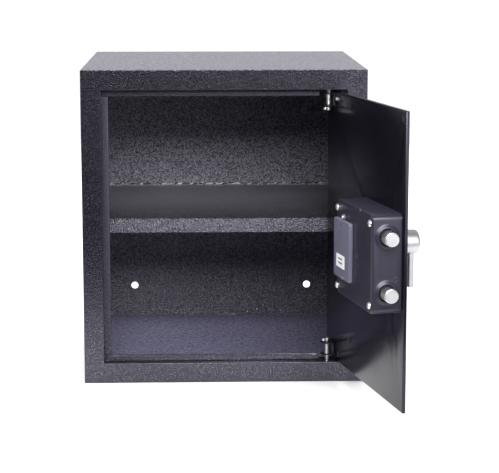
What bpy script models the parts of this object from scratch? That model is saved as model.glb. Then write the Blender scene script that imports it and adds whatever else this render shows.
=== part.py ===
"""In-room safe: sheet-steel case with a shelf, and a hinged door that carries an electronic lock.

Metres, +Z up.  The origin is the centre of the case's underside and the front looks along -Y.
The door stands open.  Its parts are modelled in the door's own frame, whose origin is on the
hinge axis: "reach" runs from the axis to the free edge, and +Y runs from the door's outer face
into the safe when it is closed.
"""
import math

import bmesh
import bpy
from mathutils import Matrix, Vector

# ---- driving dimensions -------------------------------------------------------------------
CASE_W = 0.350
CASE_D = 0.360
CASE_H = 0.390
SHEET = 0.002
GAP = 0.0003
FRONT_T = 0.003
BEYOND = 0.010

BORDER_SIDE = 0.0247
BORDER_TOP = 0.0246
BORDER_BOTTOM = 0.0249
JAMB_DEPTH = 0.028
SIDE_JAMB_DEPTH = 0.0123
STOP_SETBACK = 0.0123
STOP_PROUD = 0.0085
STOP_T = 0.002
STOP_END_X = 0.117

HOLE_SPACING = 0.249
HOLE_Z = 0.0527
HOLE_R = 0.005

SHELF_Z = 0.1985
SHELF_FRONT_Y = -0.1205
SHELF_LIP = 0.0185
SHELF_REAR_LIP = 0.004
SHELF_T = 0.0015
SHELF_EAR_DROP = 0.014
SHELF_EAR_LONG = 0.030
MAT_T = 0.0072
MAT_PLAY = 0.0012

DOOR_OPEN_DEG = 102.0
HINGE_X = 0.1286
HINGE_Y = -0.1623
DOOR_T = 0.004
DOOR_OUT = -0.0097
DOOR_IN = DOOR_OUT + DOOR_T
DOOR_TAIL = -0.0202
DOOR_REACH = 0.2774
DOOR_Z0 = 0.0277
DOOR_Z1 = 0.3634

CASE_U0 = 0.1370
CASE_U1 = 0.2700
CASE_Z0 = 0.1395
CASE_Z1 = 0.2505
CASE_THICK = 0.035
CASE_WALL = 0.002
CASE_FRONT = DOOR_IN + CASE_THICK
SCREW_INSET_U = 0.0055
SCREW_INSET_Z = 0.0098
SCREW_R = 0.0040
SCREW_H = 0.0024
CHASSIS_INSET = 0.0035

RESET_U = 0.2150
RESET_Z = 0.1957
RESET_R = 0.0018
CABLE_U = 0.1600
CABLE_Z = 0.2250
CABLE_R = 0.0014
CABLE_HOLE_R = 0.0050

BOLT_R = 0.008
BOLT_N = DOOR_IN + 0.0175
BOLT_U0 = 0.2345
BOLT_U1 = 0.2890
BOLT_Z = (0.1632, 0.2255)
BOLT_TRAVEL = 0.0145
BUSH_R = BOLT_R + 0.0018
FLANGE_R = BOLT_R + 0.0038
CARRIAGE_N = (DOOR_IN + 0.0058, DOOR_IN + 0.0078)
CARRIAGE_MARGIN_Z = 0.010

KNOB_U = 0.2200
KNOB_Z = 0.2105
KNOB_R = 0.0140
KNOB_PROUD = 0.0305
KNOB_LEVER = 0.0520
KNOB_LEVER_HALF = 0.0060
KNOB_LEVER_N = (0.0050, 0.0115)
ROSE_R = 0.0175
SPINDLE_R = 0.0040
SPINDLE_HOLE_R = 0.0052
CAM_R = 0.0140
CAM_N = (DOOR_IN + 0.0022, DOOR_IN + 0.0052)
CRANK_R = BOLT_TRAVEL / math.sqrt(2)
CRANK_PIN_R = 0.0025

COVER_U = (0.1405, 0.2005)
COVER_Z = (0.1615, 0.2295)
COVER_PROUD = 0.0045
COVER_SEAT = 0.0014
COVER_WALL = 0.0020
COVER_TAB_U = (0.1633, 0.1727)
COVER_TAB_T = 0.0020
COVER_TAB_RISE = 0.0067
COVER_SCREW_RISE = 0.0033
COVER_SCREW_R = 0.0025
LATCH_U = (0.1728, 0.1820)

SOLENOID_U = (0.1720, 0.2000)
SOLENOID_Z = (0.2025, 0.2185)
BOARD_U = (0.1425, 0.2055)
BOARD_Z = (0.1450, 0.2440)
BOARD_N = (DOOR_IN + 0.0125, DOOR_IN + 0.0141)
CHIPS = ((0.150, 0.148, 0.012, 0.012), (0.172, 0.147, 0.018, 0.010),
         (0.190, 0.236, 0.010, 0.006))
TRAY_U = (0.1413, 0.2000)
TRAY_Z = (0.1645, 0.2275)
TRAY_N = (DOOR_IN + 0.0175, DOOR_IN + 0.0325)
TRAY_WALL_U = 0.0008
TRAY_WALL_Z = 0.0015
CELL_R = 0.0070
CELL_Z = (0.1725, 0.2215)
CELL_U0 = 0.14935
CELL_PITCH = 0.0142
CELL_NUB_R = 0.0027
CELL_NUB_H = 0.0017

PAD_U = (0.0520, 0.1780)
PAD_Z = (0.1500, 0.2620)
PAD_PROUD = 0.0120
PAD_FACE = DOOR_OUT - PAD_PROUD
PAD_WALL = 0.0025
WINDOW_U = (0.0690, 0.1230)
WINDOW_Z = (0.2340, 0.2520)
OVERRIDE_U = 0.1520
OVERRIDE_Z = 0.2430
BARREL_R = 0.0090
PLUG_R = 0.0057
KEY_COLS = 3
KEY_ROWS = 4
KEY_W = 0.0150
KEY_H = 0.0120
KEY_PITCH_U = 0.0205
KEY_PITCH_Z = 0.0170
KEY_U0 = 0.0765
KEY_Z0 = 0.1625

HINGE_INSET = 0.0029
BRACKET_H = 0.0165
BRACKET_T = 0.0015
BRACKET_FOOT_U = (-0.0125, 0.0105)
BRACKET_EAR_U = (-0.0060, 0.0060)
BRACKET_EAR_N = 0.0070
PIN_R = 0.0029
PIN_SHAFT_R = 0.0023
PIN_PROUD = 0.0090
COLLAR_R = 0.0037
COLLAR_H = 0.0015
TAIL_DROP = 0.0028
TAIL_R = 0.0013
TAIL_U = 0.0015
TAIL_N = 0.0040
BALL_R = 0.0025
BALL_U = 0.0018
BALL_N = 0.0047
SPRING_WIRE_R = 0.0004
SPRING_TURNS = 5
SPRING_STEPS = 10


# ---- helpers ------------------------------------------------------------------------------
def clear_scene():
    for old in list(bpy.data.objects):
        bpy.data.objects.remove(old, do_unlink=True)


def make_collection(name):
    collection = bpy.data.collections.new(name)
    bpy.context.scene.collection.children.link(collection)
    return collection


def material(name, colour, roughness, metallic):
    mat = bpy.data.materials.new(name)
    mat.use_nodes = True
    shader = mat.node_tree.nodes["Principled BSDF"]
    shader.inputs["Base Color"].default_value = (*colour, 1.0)
    shader.inputs["Roughness"].default_value = roughness
    shader.inputs["Metallic"].default_value = metallic
    return mat


def object_from_bmesh(bm, name, mat, collection, parent=None, place=(0.0, 0.0, 0.0)):
    bmesh.ops.recalc_face_normals(bm, faces=bm.faces)
    mesh = bpy.data.meshes.new(name)
    bm.to_mesh(mesh)
    bm.free()
    obj = bpy.data.objects.new(name, mesh)
    collection.objects.link(obj)
    obj.location = place
    obj.parent = parent
    if mat is not None:
        mesh.materials.append(mat)
    return obj


def cube_into(bm, low, high):
    centre = (Vector(low) + Vector(high)) / 2
    size = Vector(high) - Vector(low)
    matrix = Matrix.Translation(centre) @ Matrix.Diagonal((*size, 1.0))
    bmesh.ops.create_cube(bm, size=1.0, matrix=matrix)


def rod_into(bm, start, end, radius, segments=24):
    start = Vector(start)
    end = Vector(end)
    along = end - start
    turn = along.to_track_quat("Z", "Y").to_matrix().to_4x4()
    matrix = Matrix.Translation((start + end) / 2) @ turn
    bmesh.ops.create_cone(bm, cap_ends=True, segments=segments, radius1=radius,
                          radius2=radius, depth=along.length, matrix=matrix)


def box(name, low, high, mat, collection, parent=None, bevel=0.0, segments=2):
    centre = (Vector(low) + Vector(high)) / 2
    bm = bmesh.new()
    cube_into(bm, Vector(low) - centre, Vector(high) - centre)
    obj = object_from_bmesh(bm, name, mat, collection, parent, centre)
    if bevel:
        add_bevel(obj, bevel, segments)
    return obj


def rod(name, start, end, radius, mat, collection, parent=None, bevel=0.0, segments=24):
    centre = (Vector(start) + Vector(end)) / 2
    bm = bmesh.new()
    rod_into(bm, Vector(start) - centre, Vector(end) - centre, radius, segments)
    obj = object_from_bmesh(bm, name, mat, collection, parent, centre)
    smooth(obj)
    if bevel:
        add_bevel(obj, bevel, 2)
    return obj


def smooth(obj):
    obj.data.shade_smooth()
    obj.data.set_sharp_from_angle(angle=math.radians(35))


def add_bevel(obj, width, segments=2, angle=40):
    bevel = obj.modifiers.new("edge_round", "BEVEL")
    bevel.width = width
    bevel.segments = segments
    bevel.limit_method = "ANGLE"
    bevel.angle_limit = math.radians(angle)
    return bevel


def cut(obj, cutter, operation="DIFFERENCE"):
    cutter.hide_render = True
    cutter.display_type = "WIRE"
    boolean = obj.modifiers.new(operation.lower(), "BOOLEAN")
    boolean.operation = operation
    boolean.solver = "EXACT"
    boolean.object = cutter
    return boolean


def box_group(name, boxes, mat, collection, parent=None):
    bm = bmesh.new()
    for low, high in boxes:
        cube_into(bm, low, high)
    return object_from_bmesh(bm, name, mat, collection, parent)


def rod_group(name, rods, mat, collection, parent=None, segments=24):
    bm = bmesh.new()
    for start, end, radius in rods:
        rod_into(bm, start, end, radius, segments)
    obj = object_from_bmesh(bm, name, mat, collection, parent)
    smooth(obj)
    return obj


def at(reach, depth, z):
    """A point of the door's frame: reach from the hinge axis, depth into the safe, height."""
    return Vector((-reach, depth, z))


def door_box(low, high):
    """Corners of a box given as (reach, depth, z) pairs."""
    return at(high[0], low[1], low[2]), at(low[0], high[1], high[2])


# ---- case ---------------------------------------------------------------------------------
def build_walls(parts, paint):
    side = CASE_W / 2
    back = CASE_D / 2
    front = -back + FRONT_T + GAP
    inner = side - SHEET
    box("wall_base", (-side, front, 0), (side, back, SHEET), paint, parts, bevel=0.0006)
    box("wall_top", (-side, front, CASE_H - SHEET), (side, back, CASE_H), paint, parts,
        bevel=0.0006)
    low = SHEET + GAP
    high = CASE_H - SHEET - GAP
    box("wall_left", (-side, front, low), (-inner, back, high), paint, parts, bevel=0.0006)
    box("wall_right", (inner, front, low), (side, back, high), paint, parts, bevel=0.0006)


def build_back_panel(parts, cutters, paint):
    side = CASE_W / 2 - SHEET - GAP
    back = CASE_D / 2
    low = SHEET + GAP
    high = CASE_H - SHEET - GAP
    panel = box("back_panel", (-side, back - SHEET, low), (side, back, high), paint, parts)
    reach = Vector((0, BEYOND, 0))
    holes = []
    for sign in (-1, 1):
        centre = Vector((sign * HOLE_SPACING / 2, back - SHEET / 2, HOLE_Z))
        holes.append((centre - reach, centre + reach, HOLE_R))
    cut(panel, rod_group("cut_anchor_holes", holes, None, cutters))


def build_front_frame(parts, cutters, paint):
    """The front plate and the jambs folded back from its opening, with a hole for each pin."""
    side = CASE_W / 2
    front = -CASE_D / 2
    plate_back = front + FRONT_T
    open_x = side - BORDER_SIDE
    open_z0 = BORDER_BOTTOM
    open_z1 = CASE_H - BORDER_TOP
    frame = box("front_frame", (-side, front, 0), (side, plate_back, CASE_H), paint, parts)
    mouth = box("cut_mouth", (-open_x, front - BEYOND, open_z0),
                (open_x, plate_back + BEYOND, open_z1), None, cutters)
    cut(frame, mouth)
    sink = 0.001
    bars = (
        ("add_jamb_bottom", (-open_x - SHEET, plate_back - sink, open_z0 - SHEET),
         (open_x, front + JAMB_DEPTH, open_z0)),
        ("add_jamb_top", (-open_x - SHEET, plate_back - sink, open_z1),
         (open_x, front + JAMB_DEPTH, open_z1 + SHEET)),
        ("add_jamb_left", (-open_x - SHEET, plate_back - sink, open_z0 - SHEET / 2),
         (-open_x, front + SIDE_JAMB_DEPTH, open_z1 + SHEET / 2)),
    )
    for name, low, high in bars:
        cut(frame, box(name, low, high, None, cutters), "UNION")
    pin_holes = []
    past = 2 * SHEET
    for z in (open_z0, open_z1):
        pin_holes.append(((HINGE_X, HINGE_Y, z - past), (HINGE_X, HINGE_Y, z + past),
                          PIN_R + GAP))
    cut(frame, rod_group("cut_pin_holes", pin_holes, None, cutters))


def build_stop_strips(parts, paint):
    side = CASE_W / 2
    y0 = -CASE_D / 2 + STOP_SETBACK
    y1 = y0 + STOP_T
    left = -side + BORDER_SIDE
    bottom = BORDER_BOTTOM
    top = CASE_H - BORDER_TOP
    box("stop_strip_bottom", (left + GAP, y0, bottom + GAP),
        (STOP_END_X, y1, bottom + STOP_PROUD), paint, parts)
    box("stop_strip_top", (left + GAP, y0, top - STOP_PROUD),
        (STOP_END_X, y1, top - GAP), paint, parts)
    box("stop_strip_left", (left - SHEET, y0 + GAP, bottom + STOP_PROUD + GAP),
        (left + STOP_PROUD, y1 + GAP, top - STOP_PROUD - GAP), paint, parts)


def build_shelf(parts, cutters, paint):
    """A folded tray: flat top, deep front lip, rear upstand and ears welded to the walls."""
    side = CASE_W / 2 - SHEET - GAP
    back = CASE_D / 2 - SHEET - GAP
    top = SHELF_Z
    front = SHELF_FRONT_Y
    outline = (
        (front, top), (back - SHELF_T, top), (back - SHELF_T, top + SHELF_REAR_LIP),
        (back, top + SHELF_REAR_LIP), (back, top - SHELF_T), (front + SHELF_T, top - SHELF_T),
        (front + SHELF_T, top - SHELF_LIP), (front, top - SHELF_LIP),
    )
    bm = bmesh.new()
    ring = [bm.verts.new((-side, y, z)) for y, z in outline]
    face = bm.faces.new(ring)
    swept = bmesh.ops.extrude_face_region(bm, geom=[face])
    moved = [item for item in swept["geom"] if isinstance(item, bmesh.types.BMVert)]
    bmesh.ops.translate(bm, verts=moved, vec=(2 * side, 0, 0))
    shelf = object_from_bmesh(bm, "shelf", paint, parts)
    ear_top = top - SHELF_T / 2
    for sign in (-1, 1):
        for index, y in enumerate((front + 0.004, back - SHELF_EAR_LONG - BEYOND)):
            inner = sign * (side - SHELF_T)
            outer = sign * side
            low = (min(inner, outer), y, ear_top - SHELF_EAR_DROP)
            high = (max(inner, outer), y + SHELF_EAR_LONG, ear_top)
            name = f"add_shelf_ear_{'left' if sign < 0 else 'right'}_{index}"
            cut(shelf, box(name, low, high, None, cutters), "UNION")


def build_floor_mat(parts, felt):
    side = CASE_W / 2 - SHEET - MAT_PLAY
    box("floor_mat", (-side, -CASE_D / 2 + JAMB_DEPTH + SHEET, SHEET + GAP),
        (side, CASE_D / 2 - SHEET - MAT_PLAY, SHEET + GAP + MAT_T), felt, parts,
        bevel=0.0015)


# ---- door plate and hinge gear ------------------------------------------------------------
def build_door_plate(parts, cutters, door, paint):
    low, high = door_box((DOOR_TAIL, DOOR_OUT, DOOR_Z0), (DOOR_REACH, DOOR_IN, DOOR_Z1))
    plate = box("door_plate", low, high, paint, parts, door, bevel=0.0006)
    spindle = rod("cut_spindle_hole", at(KNOB_U, DOOR_OUT - BEYOND, KNOB_Z),
                  at(KNOB_U, DOOR_IN + BEYOND, KNOB_Z), SPINDLE_HOLE_R, None, cutters, door)
    cut(plate, spindle)
    cable = rod("cut_cable_hole", at(CABLE_U, DOOR_OUT - BEYOND, CABLE_Z),
                at(CABLE_U, DOOR_IN + BEYOND, CABLE_Z), CABLE_HOLE_R, None, cutters, door)
    cut(plate, cable)


def build_hinge_bracket(name, z_near, side, parts, cutters, door, paint):
    """A folded channel on the door: a foot on the plate and two ears that guide the pin."""
    foot = (DOOR_IN + GAP, DOOR_IN + GAP + BRACKET_T)
    z_far = z_near - side * BRACKET_H
    low, high = door_box((BRACKET_FOOT_U[0], foot[0], min(z_near, z_far)),
                         (BRACKET_FOOT_U[1], foot[1], max(z_near, z_far)))
    bracket = box(name, low, high, paint, parts, door)
    sink = BRACKET_T / 3
    for index, z in enumerate((z_near, z_far + side * BRACKET_T)):
        z_other = z - side * BRACKET_T
        low, high = door_box((BRACKET_EAR_U[0], foot[1] - sink, min(z, z_other)),
                             (BRACKET_EAR_U[1], BRACKET_EAR_N, max(z, z_other)))
        cut(bracket, box(f"add_{name}_ear_{index}", low, high, None, cutters, door), "UNION")
    past = 0.002
    hole = rod(f"cut_{name}_near", at(0, 0, z_near + side * past),
               at(0, 0, z_near - side * 2 * past), PIN_R + GAP, None, cutters, door)
    cut(bracket, hole)
    hole = rod(f"cut_{name}_far", at(0, 0, z_far - side * past),
               at(0, 0, z_far + side * 2 * past), PIN_SHAFT_R + GAP, None, cutters, door)
    cut(bracket, hole)


def build_hinge_pin(name, z_near, side, parts, cutters, door, steel):
    """A pin that stands out of the near ear, with a collar, a thin shaft and a pull tail."""
    collar_top = z_near - side * (BRACKET_T + GAP)
    collar_low = collar_top - side * COLLAR_H
    tail_z = z_near - side * (BRACKET_H + TAIL_DROP)
    sink = side * 0.0005
    pin = rod(name, at(0, 0, z_near + side * PIN_PROUD), at(0, 0, collar_top - sink),
              PIN_R, steel, parts, door)
    collar = rod(f"add_{name}_collar", at(0, 0, collar_top), at(0, 0, collar_low), COLLAR_R,
                 None, cutters, door)
    shaft = rod(f"add_{name}_shaft", at(0, 0, collar_low + sink),
                at(0, 0, tail_z - side * 0.0022), PIN_SHAFT_R, None, cutters, door)
    tail = rod(f"add_{name}_tail", at(0, 0, tail_z), at(TAIL_U, TAIL_N, tail_z), TAIL_R,
               None, cutters, door, segments=16)
    bm = bmesh.new()
    bmesh.ops.create_uvsphere(bm, u_segments=16, v_segments=10, radius=BALL_R)
    ball = object_from_bmesh(bm, f"add_{name}_ball", None, cutters, door,
                             at(BALL_U, BALL_N, tail_z))
    for piece in (collar, shaft, tail, ball):
        cut(pin, piece, "UNION")


def wire(name, points, radius, mat, parts, door):
    """A round wire along points of the door's frame."""
    curve = bpy.data.curves.new(name, "CURVE")
    curve.dimensions = "3D"
    curve.bevel_depth = radius
    curve.bevel_resolution = 2
    curve.use_fill_caps = True
    spline = curve.splines.new("POLY")
    spline.points.add(len(points) - 1)
    for index, point in enumerate(points):
        spline.points[index].co = (*point, 1.0)
    curve.materials.append(mat)
    obj = bpy.data.objects.new(name, curve)
    parts.objects.link(obj)
    obj.parent = door


def build_hinge_spring(name, z_near, side, parts, door, steel):
    """A compression coil between the pin's collar and the far ear."""
    start = z_near - side * (BRACKET_T + 2 * GAP + COLLAR_H + SPRING_WIRE_R)
    end = z_near - side * (BRACKET_H - BRACKET_T - GAP - SPRING_WIRE_R)
    mean_r = PIN_SHAFT_R + GAP + SPRING_WIRE_R
    steps = SPRING_TURNS * SPRING_STEPS
    points = []
    for index in range(steps + 1):
        share = index / steps
        angle = 2 * math.pi * SPRING_TURNS * share
        z = start + (end - start) * share
        points.append(Vector((mean_r * math.cos(angle), mean_r * math.sin(angle), z)))
    wire(name, points, SPRING_WIRE_R, steel, parts, door)


# ---- lock case and what is in it ----------------------------------------------------------
def build_lock_case(parts, cutters, door, shell):
    low, high = door_box((CASE_U0, DOOR_IN + GAP, CASE_Z0), (CASE_U1, CASE_FRONT, CASE_Z1))
    case = box("lock_case", low, high, shell, parts, door)
    low, high = door_box(
        (CASE_U0 + CASE_WALL, DOOR_IN - BEYOND, CASE_Z0 + CASE_WALL),
        (CASE_U1 - CASE_WALL, CASE_FRONT - CASE_WALL, CASE_Z1 - CASE_WALL))
    cut(case, box("cut_case_inside", low, high, None, cutters, door))
    low, high = door_box(
        (COVER_U[0] + COVER_SEAT, CASE_FRONT - BEYOND, COVER_Z[0] + COVER_SEAT),
        (COVER_U[1] - COVER_SEAT, CASE_FRONT + BEYOND, COVER_Z[1] - COVER_SEAT))
    cut(case, box("cut_battery_window", low, high, None, cutters, door))
    bores = []
    for z in BOLT_Z:
        bores.append((at(CASE_U1 - BEYOND, BOLT_N, z), at(CASE_U1 + BEYOND, BOLT_N, z),
                      BUSH_R + GAP))
    bores.append((at(RESET_U, CASE_FRONT - BEYOND, RESET_Z),
                  at(RESET_U, CASE_FRONT + BEYOND, RESET_Z), RESET_R + GAP))
    cut(case, rod_group("cut_case_bores", bores, None, cutters, door))


def build_case_screws(parts, door, steel):
    number = 1
    for reach in (CASE_U0 + SCREW_INSET_U, CASE_U1 - SCREW_INSET_U):
        for z in (CASE_Z0 + SCREW_INSET_Z, CASE_Z1 - SCREW_INSET_Z):
            rod(f"lock_case_screw_{number}", at(reach, CASE_FRONT + GAP, z),
                at(reach, CASE_FRONT + GAP + SCREW_H, z), SCREW_R, steel, parts, door)
            number += 1


def build_bolt_bush(name, z, parts, cutters, door, shell):
    """A flanged bush in the case's side wall that guides one bolt."""
    bush = rod(name, at(CASE_U1 - CASE_WALL, BOLT_N, z), at(CASE_U1 + 0.0015, BOLT_N, z),
               BUSH_R, shell, parts, door, segments=32)
    flange = rod(f"add_{name}_flange", at(CASE_U1 + GAP, BOLT_N, z),
                 at(CASE_U1 + 0.0018, BOLT_N, z), FLANGE_R, None, cutters, door,
                 segments=32)
    cut(bush, flange, "UNION")
    bore = rod(f"cut_{name}_bore", at(CASE_U1 - BEYOND, BOLT_N, z),
               at(CASE_U1 + BEYOND, BOLT_N, z), BOLT_R + GAP, None, cutters, door, segments=32)
    cut(bush, bore)


def build_bolts(parts, cutters, door, steel):
    for name, z in zip(("bolt_lower", "bolt_upper"), BOLT_Z):
        rod(name, at(BOLT_U0, BOLT_N, z), at(BOLT_U1, BOLT_N, z), BOLT_R, steel, parts, door,
            bevel=0.0009, segments=32)
    z_range = (BOLT_Z[0] - CARRIAGE_MARGIN_Z, BOLT_Z[1] + CARRIAGE_MARGIN_Z)
    ear_u = (BOLT_U0 - GAP - 0.0022, BOLT_U0 - GAP)
    low, high = door_box((KNOB_U + 0.0005, CARRIAGE_N[0], z_range[0]),
                         (BOLT_U0 + 0.0200, CARRIAGE_N[1], z_range[1]))
    carriage = box("bolt_carriage", low, high, steel, parts, door)
    low, high = door_box((ear_u[0], CARRIAGE_N[1] - 0.0005, z_range[0]),
                         (ear_u[1], BOLT_N + BOLT_R, z_range[1]))
    cut(carriage, box("add_carriage_ear", low, high, None, cutters, door), "UNION")
    side = CRANK_R * math.sin(math.radians(45))
    play = CRANK_PIN_R + 0.0007
    low, high = door_box(
        (KNOB_U + side - play, CARRIAGE_N[0] - 0.002, KNOB_Z - CRANK_R - play),
        (KNOB_U + side + play, CARRIAGE_N[1] + 0.0012, KNOB_Z - side + play))
    cut(carriage, box("cut_crank_slot", low, high, None, cutters, door))


def build_knob(parts, cutters, door, satin, steel):
    """The outer knob with its lever hanging down, and the spindle, cam and crank pin inside."""
    outer = DOOR_OUT - KNOB_PROUD
    base = DOOR_OUT - 0.0042
    knob = rod("knob", at(KNOB_U, base, KNOB_Z), at(KNOB_U, outer, KNOB_Z), KNOB_R, satin,
               parts, door, segments=40)
    low, high = door_box(
        (KNOB_U - KNOB_LEVER_HALF, outer + KNOB_LEVER_N[0], KNOB_Z - KNOB_LEVER),
        (KNOB_U + KNOB_LEVER_HALF, outer + KNOB_LEVER_N[1], KNOB_Z))
    lever = box("add_knob_lever", low, high, None, cutters, door)
    cut(knob, lever, "UNION")
    add_bevel(knob, 0.0012, 1, 50)
    rod("knob_rose", at(KNOB_U, DOOR_OUT - GAP, KNOB_Z), at(KNOB_U, DOOR_OUT - 0.0037, KNOB_Z),
        ROSE_R, satin, parts, door, segments=40)
    bore = rod("cut_rose_bore", at(KNOB_U, DOOR_OUT + BEYOND, KNOB_Z),
               at(KNOB_U, DOOR_OUT - BEYOND, KNOB_Z), 0.0045, None, cutters, door)
    cut(parts.objects["knob_rose"], bore)
    spindle = rod("knob_spindle", at(KNOB_U, base + GAP, KNOB_Z),
                  at(KNOB_U, CAM_N[0] + 0.001, KNOB_Z), SPINDLE_R, steel, parts, door)
    disc = rod("add_cam_disc", at(KNOB_U, CAM_N[0], KNOB_Z), at(KNOB_U, CAM_N[1], KNOB_Z),
               CAM_R, None, cutters, door, segments=32)
    side = CRANK_R * math.sin(math.radians(45))
    pin = rod("add_crank_pin", at(KNOB_U + side, CAM_N[0] + 0.001, KNOB_Z - side),
              at(KNOB_U + side, CAM_N[1] + 0.0034, KNOB_Z - side), CRANK_PIN_R, None, cutters,
              door, segments=16)
    cut(spindle, disc, "UNION")
    cut(spindle, pin, "UNION")


def build_lock_inside(parts, cutters, door, steel, plastic, board, cell):
    chassis_low, chassis_high = door_box(
        (CASE_U0 + CHASSIS_INSET, DOOR_IN + GAP, CASE_Z0 + CHASSIS_INSET),
        (CASE_U1 - CHASSIS_INSET, DOOR_IN + 0.0018, CASE_Z1 - CHASSIS_INSET))
    chassis = box("lock_chassis", chassis_low, chassis_high, steel, parts, door)
    past = 0.004
    holes = [
        (at(KNOB_U, DOOR_IN - past, KNOB_Z), at(KNOB_U, DOOR_IN + past, KNOB_Z),
         SPINDLE_HOLE_R),
        (at(CABLE_U, DOOR_IN - past, CABLE_Z), at(CABLE_U, DOOR_IN + past, CABLE_Z),
         CABLE_HOLE_R),
    ]
    cut(chassis, rod_group("cut_chassis_holes", holes, None, cutters, door))
    low, high = door_box((SOLENOID_U[0], DOOR_IN + 0.0022, SOLENOID_Z[0]),
                         (SOLENOID_U[1], DOOR_IN + 0.0108, SOLENOID_Z[1]))
    solenoid = box("solenoid", low, high, steel, parts, door)
    plunger = rod("add_plunger", at(SOLENOID_U[1] - 0.001, DOOR_IN + 0.0040, KNOB_Z),
                  at(SOLENOID_U[1] + 0.0053, DOOR_IN + 0.0040, KNOB_Z), 0.0015, None, cutters,
                  door, segments=16)
    cut(solenoid, plunger, "UNION")
    low, high = door_box((BOARD_U[0], BOARD_N[0], BOARD_Z[0]), (BOARD_U[1], BOARD_N[1], BOARD_Z[1]))
    circuit = box("circuit_board", low, high, board, parts, door)
    for index, (reach, z, wide, tall) in enumerate(CHIPS):
        low, high = door_box((reach, BOARD_N[1] - 0.0003, z),
                             (reach + wide, BOARD_N[1] + 0.0019, z + tall))
        cut(circuit, box(f"add_chip_{index}", low, high, None, cutters, door), "UNION")
    build_battery_bay(parts, cutters, door, plastic, cell)


def build_battery_bay(parts, cutters, door, plastic, cell):
    low, high = door_box((TRAY_U[0], TRAY_N[0], TRAY_Z[0]), (TRAY_U[1], TRAY_N[1], TRAY_Z[1]))
    tray = box("battery_tray", low, high, plastic, parts, door)
    bay_floor = TRAY_N[0] + 0.0010
    low, high = door_box((TRAY_U[0] + TRAY_WALL_U, bay_floor, TRAY_Z[0] + TRAY_WALL_Z),
                         (TRAY_U[1] - TRAY_WALL_U, CASE_FRONT + 0.0050, TRAY_Z[1] - TRAY_WALL_Z))
    cut(tray, box("cut_battery_bay", low, high, None, cutters, door))
    middle = bay_floor + CELL_R + 0.0004
    for index in range(4):
        reach = CELL_U0 + index * CELL_PITCH
        body = rod(f"battery_cell_{index + 1}", at(reach, middle, CELL_Z[0]),
                   at(reach, middle, CELL_Z[1]), CELL_R, cell, parts, door, segments=20)
        nub = rod(f"add_cell_nub_{index + 1}", at(reach, middle, CELL_Z[1] - 0.0005),
                  at(reach, middle, CELL_Z[1] + CELL_NUB_H), CELL_NUB_R, None, cutters, door,
                  segments=16)
        cut(body, nub, "UNION")


def build_battery_cover(parts, cutters, door, shell, steel):
    front = CASE_FRONT + COVER_PROUD
    low, high = door_box((COVER_U[0], CASE_FRONT + GAP, COVER_Z[0]),
                         (COVER_U[1], front, COVER_Z[1]))
    cover = box("battery_cover", low, high, shell, parts, door)
    low, high = door_box(
        (COVER_U[0] + COVER_WALL, CASE_FRONT - BEYOND, COVER_Z[0] + COVER_WALL),
        (COVER_U[1] - COVER_WALL, front - 0.0018, COVER_Z[1] - COVER_WALL))
    cut(cover, box("cut_cover_inside", low, high, None, cutters, door))
    top = COVER_Z[1]
    tab_front = CASE_FRONT + COVER_TAB_T
    low, high = door_box((COVER_TAB_U[0], CASE_FRONT + GAP, top - COVER_WALL / 2),
                         (COVER_TAB_U[1], tab_front, top + COVER_TAB_RISE))
    cut(cover, box("add_cover_tab", low, high, None, cutters, door), "UNION")
    low, high = door_box((LATCH_U[0], front - 0.0005, COVER_Z[0] + 0.0008),
                         (LATCH_U[1], front + 0.0020, COVER_Z[0] + 0.0038))
    cut(cover, box("add_cover_latch", low, high, None, cutters, door), "UNION")
    middle = (COVER_TAB_U[0] + COVER_TAB_U[1]) / 2
    screw_z = top + COVER_SCREW_RISE
    rod("battery_cover_screw", at(middle, tab_front + GAP, screw_z),
        at(middle, tab_front + 0.0017, screw_z), COVER_SCREW_R, steel, parts, door)


def build_reset_button(parts, door, plastic):
    rod("reset_button", at(RESET_U, CASE_FRONT - 0.0045, RESET_Z),
        at(RESET_U, CASE_FRONT + 0.0014, RESET_Z), RESET_R, plastic, parts, door, segments=20)


# ---- keypad on the outer face -------------------------------------------------------------
def key_centres():
    for row in range(KEY_ROWS):
        for col in range(KEY_COLS):
            reach = KEY_U0 + (KEY_COLS - 1 - col) * KEY_PITCH_U
            z = KEY_Z0 + (KEY_ROWS - 1 - row) * KEY_PITCH_Z
            yield row * KEY_COLS + col + 1, reach, z


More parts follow.
